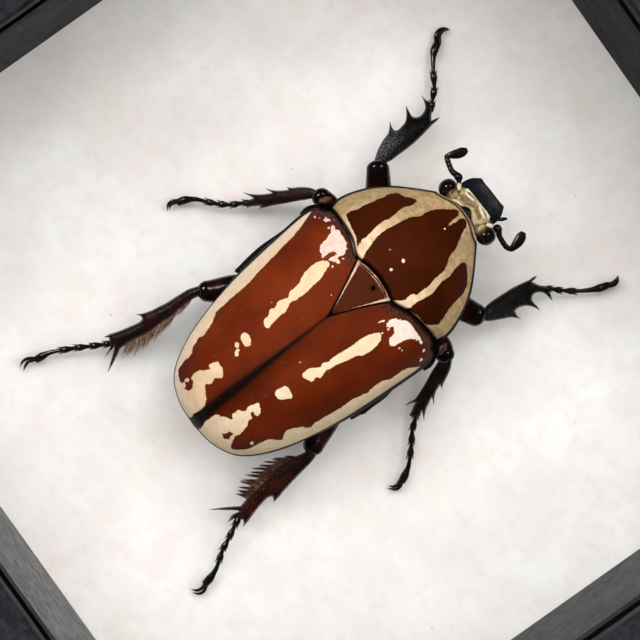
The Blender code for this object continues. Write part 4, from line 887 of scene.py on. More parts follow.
def srgb(code):
    """Linear colour of a six-digit code."""
    parts = [int(code[k:k + 2], 16) / 255 for k in (0, 2, 4)]
    return tuple(((c + 0.055) / 1.055) ** 2.4 if c > 0.04045 else c / 12.92 for c in parts) + (1.0,)


def plug(tree, socket, value):
    """Links a socket to another, or gives it a number or the colour of a code."""
    if isinstance(value, bpy.types.NodeSocket):
        tree.links.new(value, socket)
    else:
        socket.default_value = srgb(value) if isinstance(value, str) else value


def add_node(tree, kind, inputs=None, **settings):
    """A shader node with its settings and what its inputs get."""
    made = tree.nodes.new("ShaderNode" + kind)
    for key, value in settings.items():
        setattr(made, key, value)
    for key, value in (inputs or {}).items():
        plug(tree, made.inputs[key], value)
    return made


def noise(tree, size, detail=4.0, roughness=0.55, stretch=(1, 1, 1), distortion=0.0, turn=0.0):
    """Soft noise whose features are about size millimetres across, stretched, then turned about z."""
    place = add_node(tree, "TexCoord").outputs["Object"]
    inputs = {"Vector": place, "Rotation": (0, 0, turn), "Scale": stretch}
    mapped = add_node(tree, "Mapping", inputs, vector_type="TEXTURE").outputs["Vector"]
    inputs = {"Vector": mapped, "Scale": 1 / (size * MM), "Detail": detail, "Roughness": roughness,
              "Distortion": distortion}
    return add_node(tree, "TexNoise", inputs).outputs["Fac"]


def cells(tree, size):
    """Distance from scattered points that are about size millimetres apart."""
    inputs = {"Vector": add_node(tree, "TexCoord").outputs["Object"], "Scale": 1 / (size * MM)}
    return add_node(tree, "TexVoronoi", inputs).outputs["Distance"]


def named(tree, key):
    """The number of that name at the points of the mesh."""
    return add_node(tree, "Attribute", attribute_name=key).outputs["Fac"]


def spread(tree, value, low, high, to_low=0.0, to_high=1.0):
    """A value between low and high as one between to_low and to_high."""
    inputs = {"Value": value, "From Min": low, "From Max": high, "To Min": to_low, "To Max": to_high}
    return add_node(tree, "MapRange", inputs).outputs["Result"]


def blend(tree, factor, low, high):
    """A colour between two, each of them a code or a socket."""
    mixed = add_node(tree, "Mix", {0: factor}, data_type="RGBA")
    for socket, value in zip((s for s in mixed.inputs if s.type == "RGBA"), (low, high)):
        plug(tree, socket, value)
    return next(s for s in mixed.outputs if s.type == "RGBA")


def clouds(tree, low, high, size, start, end, most=1.0, **kind):
    """One colour that another clouds where a noise of that size passes from start to end."""
    return blend(tree, spread(tree, noise(tree, size, **kind), start, end, 0.0, most), low, high)


def combine(tree, operation, a, b=0.0):
    """What a sum or another operation makes of two numbers."""
    return add_node(tree, "Math", {0: a, 1: b}, operation=operation).outputs[0]


def bump(tree, height, depth, before=None):
    """Relief from a height of 0 to 1 that is depth millimetres deep."""
    inputs = {"Height": height, "Distance": depth * MM, "Strength": 1.0}
    if before is not None:
        inputs["Normal"] = before
    return add_node(tree, "Bump", inputs).outputs["Normal"]


def new_material(name, roughness, coat=0.0, coat_roughness=0.05, metallic=0.0, specular=0.5):
    """A material with its node tree and the shader of its surface."""
    material = bpy.data.materials.new(name)
    material.use_nodes = True
    surface = material.node_tree.nodes["Principled BSDF"]
    looks = {"Roughness": roughness, "Coat Weight": coat, "Coat Roughness": coat_roughness,
             "Metallic": metallic, "Specular IOR Level": specular}
    for key, value in looks.items():
        surface.inputs[key].default_value = value
    return material, material.node_tree, surface


def finish_surface(tree, surface, colour, normal=None, roughness=None):
    """Links what a surface shows to its shader."""
    for key, socket in (("Base Color", colour), ("Normal", normal), ("Roughness", roughness)):
        if socket is not None:
            tree.links.new(socket, surface.inputs[key])


def frayed(tree, key, frays, by):
    """The distance from a marking, made ragged by noises given as size, detail and reach in millimetres."""
    distance = named(tree, key)
    for size, detail, reach in frays:
        fray = spread(tree, noise(tree, size, detail), 0, 1, -reach * by, reach * by)
        distance = combine(tree, "ADD", distance, fray)
    return distance


def shell_material(name, deep, bright, white_code, mark, dulled, ragged_by):
    """Velvety shell in two shades of one colour, with ragged cream and white markings and dark borders,
    painted shade along its rims and suture, painted shade and sheen behind its front edge, dull cream by its
    rims that is painted light on the left wing case, and white marks partly brightened by a painted
    highlight.
    """
    material, tree, surface = new_material(name, 0.55, specular=0.05)
    ground = clouds(tree, deep, bright, 9, 0.35, 0.65)
    # Painted shade along the rims and the suture
    ground = blend(tree, named(tree, "shade"), ground, "2a0c04")
    # Painted shade and purplish sheen on the sunken front edge
    shade_and_sheen = clouds(tree, "2e1614", "5d342a", 0.8, 0.35, 0.7, detail=5.0, roughness=0.65)
    ground = blend(tree, named(tree, "front_shade_and_sheen"), ground, shade_and_sheen)
    cream = frayed(tree, "cream", CREAM_FRAYS, ragged_by)
    ground = blend(tree, spread(tree, cream, MARK_EDGE, 0.2, 0.15, 0.0), ground, "1c0904")
    # Dull cream by the rims; on the left wing case it is lighter, painted light on the shaded rim
    dull = clouds(tree, *dulled, 1.1, 0.35, 0.65, detail=5.0, roughness=0.65)
    cream_colour = blend(tree, named(tree, "dull"), clouds(tree, *mark, 1.6, 0.35, 0.65), dull)
    colour = blend(tree, spread(tree, cream, MARK_EDGE, -MARK_EDGE), ground, cream_colour)
    white = frayed(tree, "white", WHITE_FRAYS, ragged_by)
    # White marks, partly their own colour and partly a painted highlight on the shoulder bumps
    white_and_highlight = clouds(tree, white_code, "eccdbf", 0.9, 0.4, 0.65)
    colour = blend(tree, spread(tree, white, MARK_EDGE, -MARK_EDGE), colour, white_and_highlight)
    # Black rims, borders and suture band, and painted shadow black at the pronotum's hind edge, behind the
    # wing cases' front edges and in the pin hole
    colour = blend(tree, named(tree, "dark"), colour, clouds(tree, "060505", "120e0c", 1.2, 0.3, 0.7))
    specks = spread(tree, cells(tree, 1.9), 0.03, 0.07, 0.22, 0.0)
    colour = blend(tree, specks, colour, "c08a7c")
    relief = bump(tree, spread(tree, cells(tree, 0.55), 0.0, 0.22), 0.012)
    finish_surface(tree, surface, colour, bump(tree, noise(tree, 3.0), 0.05, relief))
    return material


def chitin_material(name, deep, bright, roughness, pit, pit_depth, rim=None, wave=0.04, gloss=(0.15, 0.4),
                    turn=None):
    """Glossy pitted cuticle, with dark rims if it has any, and streaked along a leg that runs at turn, with
    grey specks of painted sheen by its knee.
    """
    material, tree, surface = new_material(name, roughness, gloss[0], 0.08, specular=gloss[1])
    colour = clouds(tree, deep, bright, 2.4, 0.35, 0.68)
    if rim:
        colour = blend(tree, spread(tree, named(tree, "depth"), 0.1, 0.6), rim, colour)
    if turn is not None:
        streaks = {"detail": 3.0, "roughness": 0.5, "stretch": (9, 1, 1), "distortion": 0.2, "turn": turn}
        colour = clouds(tree, colour, "0a0606", 0.9, 0.45, 0.65, 0.75, **streaks)
        # Grey specks of painted sheen on the pits by the knee
        painted_sheen = combine(tree, "MULTIPLY", named(tree, "painted_sheen"), spread(tree, cells(tree, 0.3), 0.3, 0.75))
        colour = blend(tree, painted_sheen, colour, "837f86")
    relief = bump(tree, spread(tree, cells(tree, pit), 0.05, 0.4), pit_depth)
    finish_surface(tree, surface, colour, bump(tree, noise(tree, 1.1), wave, relief))
    return material


def head_material():
    """Cream and pinkish face that is brown in its hollows."""
    material, tree, surface = new_material("face_cream", 0.4, 0.2, 0.15, specular=0.3)
    colour = clouds(tree, "d2bf8e", "94794c", 0.8, 0.35, 0.68, detail=5.0)
    colour = clouds(tree, colour, "c3a090", 1.7, 0.5, 0.62, 0.6)
    # Brown hollows, patches and sockets, and pale lines that are partly a painted highlight on the lozenge
    # ridges
    for key, size, low, high, least, shade in (("dark", 0.6, 0.3, 0.6, 0.45, "4c3717"),
                                               ("pale", 0.4, 0.35, 0.6, 0.35, "ece4c6")):
        patchy = spread(tree, noise(tree, size), low, high, least, 1.0)
        colour = blend(tree, combine(tree, "MULTIPLY", named(tree, key), patchy), colour, shade)
    # Black of the nape, partly painted shadow, and of the head's front corners
    colour = blend(tree, named(tree, "black"), colour, "0c0a0b")
    relief = bump(tree, noise(tree, 0.5, 6.0, 0.7), 0.22)
    finish_surface(tree, surface, colour, bump(tree, cells(tree, 0.3), 0.03, relief))
    return material


def bristle_material():
    """Reddish fair bristles with dark tips."""
    material, tree, surface = new_material("bristles", 0.45)
    colour = clouds(tree, "8d573a", "cca17e", 0.5, 0.35, 0.65)
    finish_surface(tree, surface, blend(tree, named(tree, "tip"), colour, "3a1a0e"))
    return material


def paper_material():
    """Warm white sheet with faint grey and pink clouds and a few specks."""
    material, tree, surface = new_material("mount_paper", 0.9, specular=0.2)
    colour = "f3f1ee"
    for shade, size, start, end, most, detail in PAPER_CLOUDS:
        colour = clouds(tree, colour, shade, size, start, end, most, detail=detail, roughness=0.6)
    colour = blend(tree, spread(tree, cells(tree, 7.0), 0.012, 0.03, 0.5, 0.0), colour, "8e8078")
    relief = bump(tree, noise(tree, 0.6, 6.0, 0.7), 0.03)
    finish_surface(tree, surface, colour, bump(tree, noise(tree, 14, 3.0), 0.25, relief))
    return material


def slot_shadow_and_foot_shade(tree, colour, slot_shadow):
    """The wood of the case's inner side, painted black between two heights as the shadow in the glazing slot,
    and with painted shade where it meets the paper.
    """
    place = add_node(tree, "TexCoord").outputs["Object"]
    across, ahead, height = add_node(tree, "SeparateXYZ", {"Vector": place}).outputs
    out = combine(tree, "MAXIMUM", combine(tree, "ABSOLUTE", across), combine(tree, "ABSOLUTE", ahead))
    inner_end = CASE_INNER + INNER_SIDE
    inside = spread(tree, out, inner_end * MM, (inner_end + 0.2) * MM, 1.0, 0.0)
    above = spread(tree, height, slot_shadow[0] * MM, (slot_shadow[0] + 0.25) * MM, 0.0, inside)
    below = spread(tree, height, slot_shadow[1] * MM, (slot_shadow[1] + 0.25) * MM, 1.0, 0.0)
    # Painted shadow of the glazing slot
    colour = blend(tree, combine(tree, "MULTIPLY", above, below), colour, "050505")
    # Painted shade at the foot of the wall, where it meets the paper
    foot = spread(tree, height, (PAPER_TOP + 0.15) * MM, (PAPER_TOP + 0.8) * MM, 0.8, 0.0)
    return blend(tree, combine(tree, "MULTIPLY", foot, inside), colour, "15110e")


def wood_material(name, deep, bright, along, slot_shadow, scuffed, size, roughness=0.62):
    """Stained or painted wood whose grain runs along x or y, painted black between two heights as the slot's
    shadow.
    """
    material, tree, surface = new_material(name, roughness, specular=0.12)
    grain = noise(tree, size, 7.0, 0.65, (3, 1, 1) if along == "x" else (1, 3, 1), 0.6)
    colour = blend(tree, spread(tree, grain, 0.3, 0.72, 0.2, 0.8), deep, bright)
    for shade, blotch in ((deep, 1.7), (bright, 2.6)):
        colour = clouds(tree, colour, shade, blotch, 0.45, 0.65, 0.85, detail=6.0, roughness=0.65)
    colour = clouds(tree, colour, "8d8983", 2.4, 0.62, 0.72, scuffed, detail=9.0, roughness=0.75)
    relief = bump(tree, noise(tree, 0.5, 4.0), 0.04, bump(tree, grain, 0.16))
    shine = spread(tree, grain, 0.3, 0.7, roughness - 0.08, roughness + 0.12)
    finish_surface(tree, surface, slot_shadow_and_foot_shade(tree, colour, slot_shadow), relief, shine)
    return material


def board_material():
    """Brown fibreboard with dark flecks."""
    material, tree, surface = new_material("fibreboard", 0.85, specular=0.2)
    fibres = noise(tree, 0.8, 8.0, 0.7, (1, 2.5, 1))
    colour = blend(tree, spread(tree, fibres, 0.35, 0.68), "6e5238", "94714e")
    colour = blend(tree, spread(tree, cells(tree, 2.6), 0.02, 0.12, 0.6, 0.0), colour, "3b2a1c")
    finish_surface(tree, surface, colour, bump(tree, fibres, 0.12))
    return material


def steel_material():
    """Drawn steel with a little tarnish."""
    material, tree, surface = new_material("pin_steel", 0.3, metallic=1.0)
    colour = clouds(tree, "b8b6b1", "6f6a62", 0.8, 0.4, 0.7, detail=5.0)
    finish_surface(tree, surface, colour, bump(tree, noise(tree, 0.3, 3.0, 0.5, (1, 1, 20)), 0.01))
    return material


# Body


def elytron_plan(rows, columns):
    """A grid of the right wing case from above, from the suture outwards, with its outer and inner edges."""
    outer = curve_points(ELYTRON_SIDE, rows)
    beside_scutellum = (SUTURE_HALF_GAP + 0.1, SCUTELLUM_TIP_Y - 0.5)
    inner = curve_points((SCUTELLUM_CORNER, SCUTELLUM_BEND, beside_scutellum), 8)
    inner = np.vstack([inner, [(SUTURE_HALF_GAP, y) for y in np.linspace(*SUTURE_RUN, 24)]])
    inner = evenly(inner, rows)
    across = np.sin(np.linspace(0, math.pi / 2, columns))
    plan = inner[:, None] + (outer - inner)[:, None] * across[None, :, None]
    fade = (1 - steps_along(rows)) ** 8
    front = hind_line(plan[..., 0]) - GAP
    plan[..., 1] += fade * (front - plan[..., 1]) * ramp(plan[..., 0], SHOULDER_X, 0.4)
    return plan[..., 0], plan[..., 1], outer, inner


def elytron_looks(side, y, rim, seam, ahead):
    """How dark and dull a wing case is, with painted shade along its rim and its suture, painted shade and
    sheen behind its front edge and painted light on the left one's rim, from its rim, its suture and its
    front edge.
    """
    rear = ramp(-y, -SCUTELLUM_TIP_Y, 20)
    band = 0.08 + SEAM_BAND[side] * rear**1.35
    dark = 0.94 * step_down(seam, band - 0.25, band + 0.5) * ramp(-y, -SCUTELLUM_TIP_Y - 0.6, 1.2)
    dark = np.maximum(dark * np.clip(0.6 + rear, 0, 1), 0.8 * step_down(seam, 0.02, 0.12))
    black_rim = 0.28 + 0.3 * ramp(y, -12, 8)
    dark = np.maximum(dark, step_down(rim, black_rim, black_rim + 0.12))
    # Black behind the front edge is painted shadow in the gap under the pronotum's hind edge
    dark = np.maximum(dark, 0.95 * step_down(ahead, *FRONT_EDGE_SHADOW[side]))
    # Painted shade along the rim and along the suture, stronger towards the rear
    shade = (0.45 + 0.3 * rear) * step_down(rim, 0.5, 3.5)
    shade = np.clip(shade + 0.6 * step_down(seam, 0.2, 3.6) * (0.25 + 0.75 * rear), 0, 1)
    # Dull cream by the rim, kept along the whole left rim as painted light
    dull = 0.8 * step_down(rim, 0.6, 2.6) * (1 - rear * (side == "right"))
    # Painted shade and sheen on the sunken front edge
    return {"dark": dark, "shade": shade, "dull": dull, "front_shade_and_sheen": 0.85 * step_down(ahead, 1.0, 2.8)}


def make_elytron(side, material):
    """One wing case, with a beaded rim, a groove along the suture and a sunken front edge."""
    x, y, outer, inner = elytron_plan(190, 120)
    rim, seam = edge_distance(outer, x, y), edge_distance(inner, x, y)
    ahead = np.where(x > SHOULDER_X, hind_line(x) - GAP - y, 9.0)
    z = back_height(x, y) + beads(rim, ELYTRON_BEADS) - 0.14 * hump(seam, 0.14)
    z -= 0.75 * step_down(ahead, 0.0, 1.2) * ramp(x, SHOULDER_X, 1.5)
    top = np.stack([x, y, z], axis=2)
    normal = np.cross(np.gradient(top, axis=1), np.gradient(top, axis=0))
    normal /= np.maximum(np.linalg.norm(normal, axis=2, keepdims=True), 1e-9)
    normal *= np.sign(normal[:, :, 2:] + 1e-9)
    bottom = top - normal * ELYTRON_THICK
    bottom[:, 0, :2] = top[:, 0, :2]
    bottom[0, :, :2] = top[0, :, :2]
    bottom[..., 0] = np.maximum(bottom[..., 0], SUTURE_HALF_GAP)
    for skin in (top, bottom):
        skin[..., 0] *= SIGNS[side]
    key = "elytron_" + side
    cream, dark, white = seen_marks(top, (CREAM_MARKS[key], ()), (DARK_MARKS.get(key, ()), ()),
                                    (WHITE_MARKS[key], WHITE_SPOTS[key]))
    looks = {"cream": np.maximum(cream, -dark), "white": white, **elytron_looks(side, y, rim, seam, ahead)}
    made = slab("wing_case_" + side, top, bottom, SHELL_BELOW, **looks)
    dress(made, material, "cuticle_red", key)


def make_scutellum(material):
    """The triangle between the wing cases, with the hole that the pin left and its double front line."""
    rows, columns = 70, 90
    t = np.linspace(0, 1, rows)[:, None]
    half = (SCUTELLUM_CORNER[0] - GAP) * (1 - t) + 0.25 * t
    x = half * np.linspace(-1, 1, columns)[None, :]
    front = hind_line(np.abs(x)) - GAP
    y = SCUTELLUM_CORNER[1] + (SCUTELLUM_TIP_Y + 0.4 - SCUTELLUM_CORNER[1]) * t
    y = y + (front - SCUTELLUM_CORNER[1]) * (1 - t) ** 2
    ahead, side = front - y, half - np.abs(x)
    hole = np.hypot(x - PIN_PLACE[0], y - PIN_PLACE[1])
    z = back_height(x, y) + 0.07 * hump(ahead - 0.5, 0.13) - 0.35 * step_down(ahead, 0.0, 0.4)
    z -= 0.1 * step_down(side, 0.0, 0.3)
    z += 0.04 * hump(hole - 0.6, 0.12) - PIN_HOLE_DEPTH * step_down(hole, *PIN_HOLE)
    top = np.stack([x, y, z], axis=2)
    corner = ramp(y, 2.2, 7.5)
    side_line = 0.27 * np.where(x < 0, corner**1.1, corner**1.9) - 0.03
    cream = np.abs(side - 0.2) - side_line
    for place, half_width in SCUTELLUM_LINES:
        cream = np.minimum(cream, np.abs(ahead - place) - half_width)
    # The pin hole is painted black as the shade inside it
    dark = np.maximum(step_down(hole, 0.26, 0.42), 0.8 * step_down(side, 0.0, 0.1))
    dark = np.maximum(dark, 0.4 * hump(hole - 0.6, 0.1))
    dark = np.maximum(dark, 0.6 * step_down(y, 1.8, 3.2))
    bottom = top - (0, 0, ELYTRON_THICK)
    made = slab("scutellum_shell", top, bottom, SHELL_BELOW, cream=cream, white=9.0, dark=dark, shade=0.1)
    dress(made, material, "cuticle_dark", "scutellum")


def make_pronotum(material):
    """The first ring of the thorax, with black beads along its sides."""
    rows, columns = 130, 200
    side = curve_points(PRONOTUM_SIDE, rows)
    across, t = steps_across(columns), steps_along(rows)
    x = across * side[:, :1]
    rear_bow = hind_line(np.abs(x)) - PRONOTUM_SIDE[0][1]
    front_bow = front_line(np.abs(x)) - PRONOTUM_SIDE[-1][1]
    y = side[:, 1:] + rear_bow * (1 - t) ** 1.5 + front_bow * t**1.5
    edge = pronotum_edge(y)
    rim = np.minimum(edge_distance(side, x, y), edge_distance(side * (-1, 1), x, y))
    behind = y - hind_line(np.abs(x))
    up = edge + (pronotum_top(y) - edge) * dome(across, PRONOTUM_POWERS) + beads(rim, PRONOTUM_BEADS)
    up -= 0.45 * step_down(behind, 0.0, 0.45) + 0.3 * step_down((1 - t) * 15, 0.0, 0.4)
    down = edge - 0.7 - (edge - 0.7 - pronotum_under(y)) * dome(across, UNDER_POWERS)
    top, bottom = np.stack([x, y, up], axis=2), np.stack([x, y, down], axis=2)
    panels, white = seen_marks(top, (PANELS, ()), ((), WHITE_SPOTS["pronotum"]))
    nose = edge_distance(top[-1, :, :2], x, y)
    # Black beads along the sides, and painted shadow black behind the hind edge in the gap before the wing
    # cases
    dark = np.maximum(step_down(rim, 0.42, 0.58), 0.9 * step_down(behind, 0.12, 0.32))
    dark = np.maximum(dark, 0.9 * step_down(np.abs(nose - 0.36), 0.12, 0.24))
    dull = np.clip(np.maximum(1.1 * step_down(rim, 1.5, 5.5), (y - 14.5) / 6), 0, 1)
    # Painted shade towards the pronotum's sides
    made = slab("pronotum_shell", top, bottom, SHELL_BELOW, cream=-panels, white=white, dark=dark,
                shade=0.5 * step_down(rim, 1.0, 6.0), dull=dull)
    dress(made, material, "cuticle_dark", "pronotum")


def make_head(face):
    """Head with two pale lozenges over the hollow brow, and sunk where the eyes sit."""
    rows, columns = 70, 100
    side = curve_points(HEAD_SIDE, rows)
    across = steps_across(columns)
    x = across * side[:, :1]
    y = side[:, 1:] + (front_line(np.abs(x)) + GAP - HEAD_SIDE[0][1]) * (1 - steps_along(rows))
    edge = head_edge(y)
    up = edge + (head_top(y) - edge) * dome(across, HEAD_POWERS)
    down = edge - (edge - head_under(y)) * dome(across, UNDER_POWERS)
    shift = np.array((HEAD_SHIFT, 0, 0))
    top, bottom = np.stack([x, y, up], axis=2) + shift, np.stack([x, y, down], axis=2) + shift
    outlines = (HEAD_BLACK, HEAD_PALE, HEAD_HOLLOW, HEAD_BROWN)
    nape_black_and_shadow, pale, hollow, brown = seen_marks(top, *((group, ()) for group in outlines))
    top[..., 2] += 0.3 * step_down(pale, -0.1, 0.3) - 0.3 * step_down(hollow, -0.1, 0.2)
    top[..., 2] -= 0.35 * step_down(brown, -0.5, 0.3) + 0.7 * step_down(nape_black_and_shadow, -0.3, 0.15)
    eye = np.hypot(np.abs(x) - EYE_PLACE[0], y - EYE_PLACE[1])
    sunk = step_down(eye, EYE_RADII[0] + 0.15, EYE_RADII[0] + 0.6)
    top[..., 2] -= 2.4 * sunk
    dark = np.maximum(0.8 * step_down(brown, -0.1, 0.35), 0.75 * step_down(hollow, -0.05, 0.15))
    corners = step_down(HEAD_CORNERS[0] - np.abs(x), 0.0, 0.5) * step_down(HEAD_CORNERS[1] - y, 0.0, 0.9)
    # The nape's black is partly painted shadow in the gap before the pronotum
    made = slab("head_shell", top, bottom, HEAD_BELOW, dark=np.maximum(dark, 0.7 * sunk),
                black=np.maximum(step_down(nape_black_and_shadow, -0.05, 0.1), corners), pale=step_down(pale, -0.03, 0.12))
    dress(made, face, "cream", "head")


def make_brows(face):
    """The cream ridge before each eye and the socket that the eye sits in."""
    ridges, sockets = [], []
    for sign in SIGNS.values():
        path = [(HEAD_SHIFT + sign * x, y, z) for x, y, z in CANTHUS]
        ridges.append(limb(path, (0.5, 0.75, 0.35), (0.5, 0.6, 0.3), 10, 10))
        place = (HEAD_SHIFT + sign * (EYE_PLACE[0] - 1.1), EYE_PLACE[1] - 0.1, EYE_PLACE[2] + 0.3)
        sockets.append(ball(place, (1.05, 1.2, 1.3), 40, 28))
    verts, faces = joined(ridges + sockets)
    on_ridge = np.arange(len(verts)) < sum(len(ridge[0]) for ridge in ridges)
    outwards = ramp(np.abs(verts[:, 0] - HEAD_SHIFT), 3.3, 0.9)
    values = {"dark": (0.2 + 1.4 * outwards) * ~on_ridge, "black": 0 * outwards, "pale": 0.7 * on_ridge}
    dress(new_piece("eye_ridges", verts, faces, True, values), face, "cream")


def make_palp(material):
    """The jointed feeler beside the mouth."""
    verts, faces = limb(PALP_PATH, (1.0, 0.75, 0.6, 0.7, 0.4), (0.8, 0.7, 0.55, 0.6, 0.35), 20, 12)
    dress(new_piece("palp", verts, faces), material, "cuticle_black")


def make_eyes(material):
    """Both eyes."""
    for side, sign in SIGNS.items():
        verts, faces = ball((HEAD_SHIFT + sign * EYE_PLACE[0], *EYE_PLACE[1:]), EYE_RADII, 48, 32)
        dress(new_piece("eye_ball_" + side, verts, faces), material, "cuticle_black", "eye_" + side)


def make_clypeus(material):
    """The sloping plate over the mouth, with raised sides and front."""
    rows, columns = 40, 60
    side = curve_points(CLYPEUS_SIDE, rows)
    across, t = np.linspace(-1, 1, columns)[None, :], steps_along(rows)
    z = CLYPEUS_DROP[0] + (CLYPEUS_DROP[1] - CLYPEUS_DROP[0]) * t
    z = z + CLYPEUS_RIM * np.abs(across) ** 5 + 0.35 * (1 - across**2) * (1 - t) + 0.3 * hump(1 - t, 0.06)
    z = z - 0.25 * hump(np.abs(across) - 0.62, 0.2) * t - 0.25 * (1 - t) ** 3
    y = side[:, 1:] - 0.65 * (1 - t) ** 2 + 0 * across
    top = np.stack([across * side[:, :1] + HEAD_SHIFT, y, z], axis=2)
    made = slab("clypeus_plate", top, top - (0, 0, CLYPEUS_THICK))
    dress(made, material, "cuticle_black", "clypeus")


def make_antenna(side, material):
    """Scape, six beads of the thread and the club of three leaves."""
    root, knob, scape_end, thread_end, club_root, club_tip = np.array(ANTENNA_POINTS[side], float)
    parts = [ball(knob, (0.8, 0.7, 0.65), 20, 14)]
    parts.append(limb((root, knob, scape_end), (0.7, 1.1, 0.9), (0.6, 1.0, 0.8), 16, 14))
    rows = 60
    path = curve_points((knob, scape_end, thread_end, club_root), rows)
    wide = 0.84 + 0.12 * np.abs(np.sin(np.linspace(0, THREAD_BEADS * math.pi, rows))) ** 0.6
    parts.append(tube_mesh(path, wide, wide, 14))
    bend = np.cross(club_tip - club_root, (0, 0, 1)) * 0.07
    for leaf in (-1, 0, 1):
        lift = np.array((0.05 * leaf, 0, 0.4 * leaf))
        path = (club_root - (club_tip - club_root) * 0.06, club_root + lift * 0.6 + bend * 0.4,
                (club_root + club_tip) / 2 + lift + bend, club_tip + lift)
        parts.append(limb(path, LEAF_WIDTHS, LEAF_HEIGHTS, 26, 16))
    verts, faces = joined(parts)
    dress(new_piece("feeler_" + side, verts, faces), material, "cuticle_black", "antenna_" + side)


def make_flanks(material):
    """The dark plates beside the wing cases."""
    for side, outline in FLANK_OUTLINES.items():
        loop = from_photo(smooth_loop(outline), FLANK_HEIGHT)[:, :2]
        verts, faces, depth = blade(lambda x, y: (x, y, FLANK_HEIGHT), loop, FLANK_RISE, FLANK_SHOULDER, 0.0)
        made = new_piece("flank_" + side, verts, faces, False, {"depth": depth}, 60)
        dress(made, material, "cuticle_black")


def make_trunk(black, brown):
    """The rest of the body, as finer skins of its CAD nodes."""
    for node in ("thorax", "abdomen", "pygidium"):
        dress(refined(node + "_skin", node, TRUNK_VOXEL), black, "cuticle_black", node)
    for side in SIGNS:
        plate = refined("shoulder_plate_" + side, "epimeron_" + side, PLATE_VOXEL)
        dress(plate, brown, "cuticle_brown", "epimeron_" + side)


# Legs


def tibia_frame(leg):
    """The place on a tibia at (along, across), both as seen from above."""
    knee, ankle = np.array(KNEES[leg], float), np.array(ANKLES[leg], float)
    along = (ankle - knee) / np.linalg.norm((ankle - knee)[:2])
    level = np.cross((0, 0, 1), along)
    outwards = level / np.linalg.norm(level) * (1 if leg in TURNED_SHINS else -1)
    return lambda a, b: knee + along * a + outwards * b


def on_shin(leg, pixels):
    """(along, across) of the points of a shin's plane that the photograph shows at the pixels."""
    at = tibia_frame(leg)
    origin, one_along, one_across = to_world([at(0, 0), at(1, 0), at(0, 1)], False)
    along, across = one_along - origin, one_across - origin
    normal = np.cross(along, across)
    start = np.array(CAMERA_PLACE) - origin
    rays = photo_rays(pixels)
    found = start - rays * ((start @ normal) / (rays @ normal))[:, None]
    return np.stack([found @ along / (along @ along), found @ across], axis=1)


def make_femur(leg, pair, material):
    """A thigh that swells before the knee, with a rounded and notched end."""
    path = np.array(FEMUR_PATHS[leg], float)
    along = (path[-1] - path[-2]) / np.linalg.norm(path[-1] - path[-2])
    rows = 60
    wide, high = eased(FEMUR_WIDTHS[pair], rows), eased(FEMUR_HEIGHTS[pair], rows)
    knee_length = FEMUR_HEIGHTS[pair][-1] * KNEE_LENGTH
    cap = np.linspace(0, 1, 16)[1:]
    points = np.vstack([curve_points(path, rows), path[-1] + along * (cap * knee_length)[:, None]])
    rounding = (1.001 - cap**2) ** 0.5
    wide, high = np.append(wide, wide[-1] * rounding), np.append(high, high[-1] * rounding)
    verts, faces = tube_mesh(points, wide, high, 36)
    knee = path[-1] + along * knee_length
    apart = np.linalg.norm(verts - knee - (0, 0, 0.5), axis=1, keepdims=True)
    verts = verts - along * KNEE_NOTCH[0] * hump(apart, KNEE_NOTCH[1])
    depth = np.clip((apart[:, 0] - 0.9) * 0.28, 0, 1)
    made = new_piece("thigh_" + leg, verts, faces, False, {"depth": depth})
    dress(made, material, "cuticle_black", "femur_" + leg)


def blade(at, loop, rise, shoulder, bead):
    """A closed solid whose two skins meet at a sharp outline, with how far in from it each point is."""
    columns = [np.arange(a, b, BLADE_STEP) for a, b in zip(loop.min(axis=0), loop.max(axis=0))]
    grid = np.stack(np.meshgrid(*columns), axis=-1).reshape(-1, 2)
    inner = grid[loop_distance(loop, grid) < -0.6 * BLADE_STEP]
    edges = [(k, (k + 1) % len(loop)) for k in range(len(loop))]
    inside_edges = 1
    made = delaunay_2d_cdt([Vector(p) for p in np.vstack([loop, inner])], edges, [], inside_edges, 1e-6)
    flat, triangles = np.array([tuple(p) for p in made[0]]), made[2]
    depth = np.maximum(-loop_distance(loop, flat), 0)
    depth[depth < 1e-4] = 0
    height = rise * np.sqrt(1 - (1 - np.clip(depth / shoulder, 0, 1)) ** 2)
    height = height + bead * hump(depth - 0.45, 0.16) * (depth > 0)
    plane, up = np.array([at(*p) for p in flat]), np.array((0, 0, 1.0))
    verts = np.vstack([plane + height[:, None] * up, plane - height[:, None] * up])
    faces = [tuple(t) for t in triangles] + [tuple(k + len(flat) for k in reversed(t)) for t in triangles]
    return verts, faces, np.concatenate([depth, depth])


def shin_loop(leg):
    """The closed outline of a shin, about a point for each pixel of the photograph."""
    corners = []
    for run in SHIN_OUTLINES[leg]:
        knots = np.array(corners[-1:] + list(run), float)
        length = np.linalg.norm(np.diff(knots, axis=0), axis=1).sum()
        corners += [tuple(p) for p in curve_points(knots, max(int(length), 3))[1 if corners else 0:]]
    return on_shin(leg, corners)


def make_tibia(leg, pair, material, slot):
    """A shin with the teeth and spurs of its outline, a bead along its sides and swollen in the middle."""
    at, loop = tibia_frame(leg), shin_loop(leg)
    verts, faces, depth = blade(at, loop, SHIN_RISE[pair], SHIN_SHOULDER[pair], SHIN_BEAD)
    from_knee = np.linalg.norm(verts - np.array(KNEES[leg]), axis=1)
    toothed = np.sign(loop[np.abs(loop[:, 1]).argmax(), 1])
    across = (verts - at(0, 0)) @ (at(0, 1) - at(0, 0)) * toothed
    # Painted sheen: grey specks by the knee, stronger towards the toothed side
    painted_sheen = step_down(from_knee, 3.0, 9.0) * np.clip(0.1 + 0.5 * across, 0.05, 1) * SHIN_PAINTED_SHEEN.get(leg, 0.1)
    made = new_piece("shin_" + leg, verts, faces, False, {"depth": depth, "painted_sheen": painted_sheen}, 60)
    dress(made, material, slot, "tibia_" + leg)


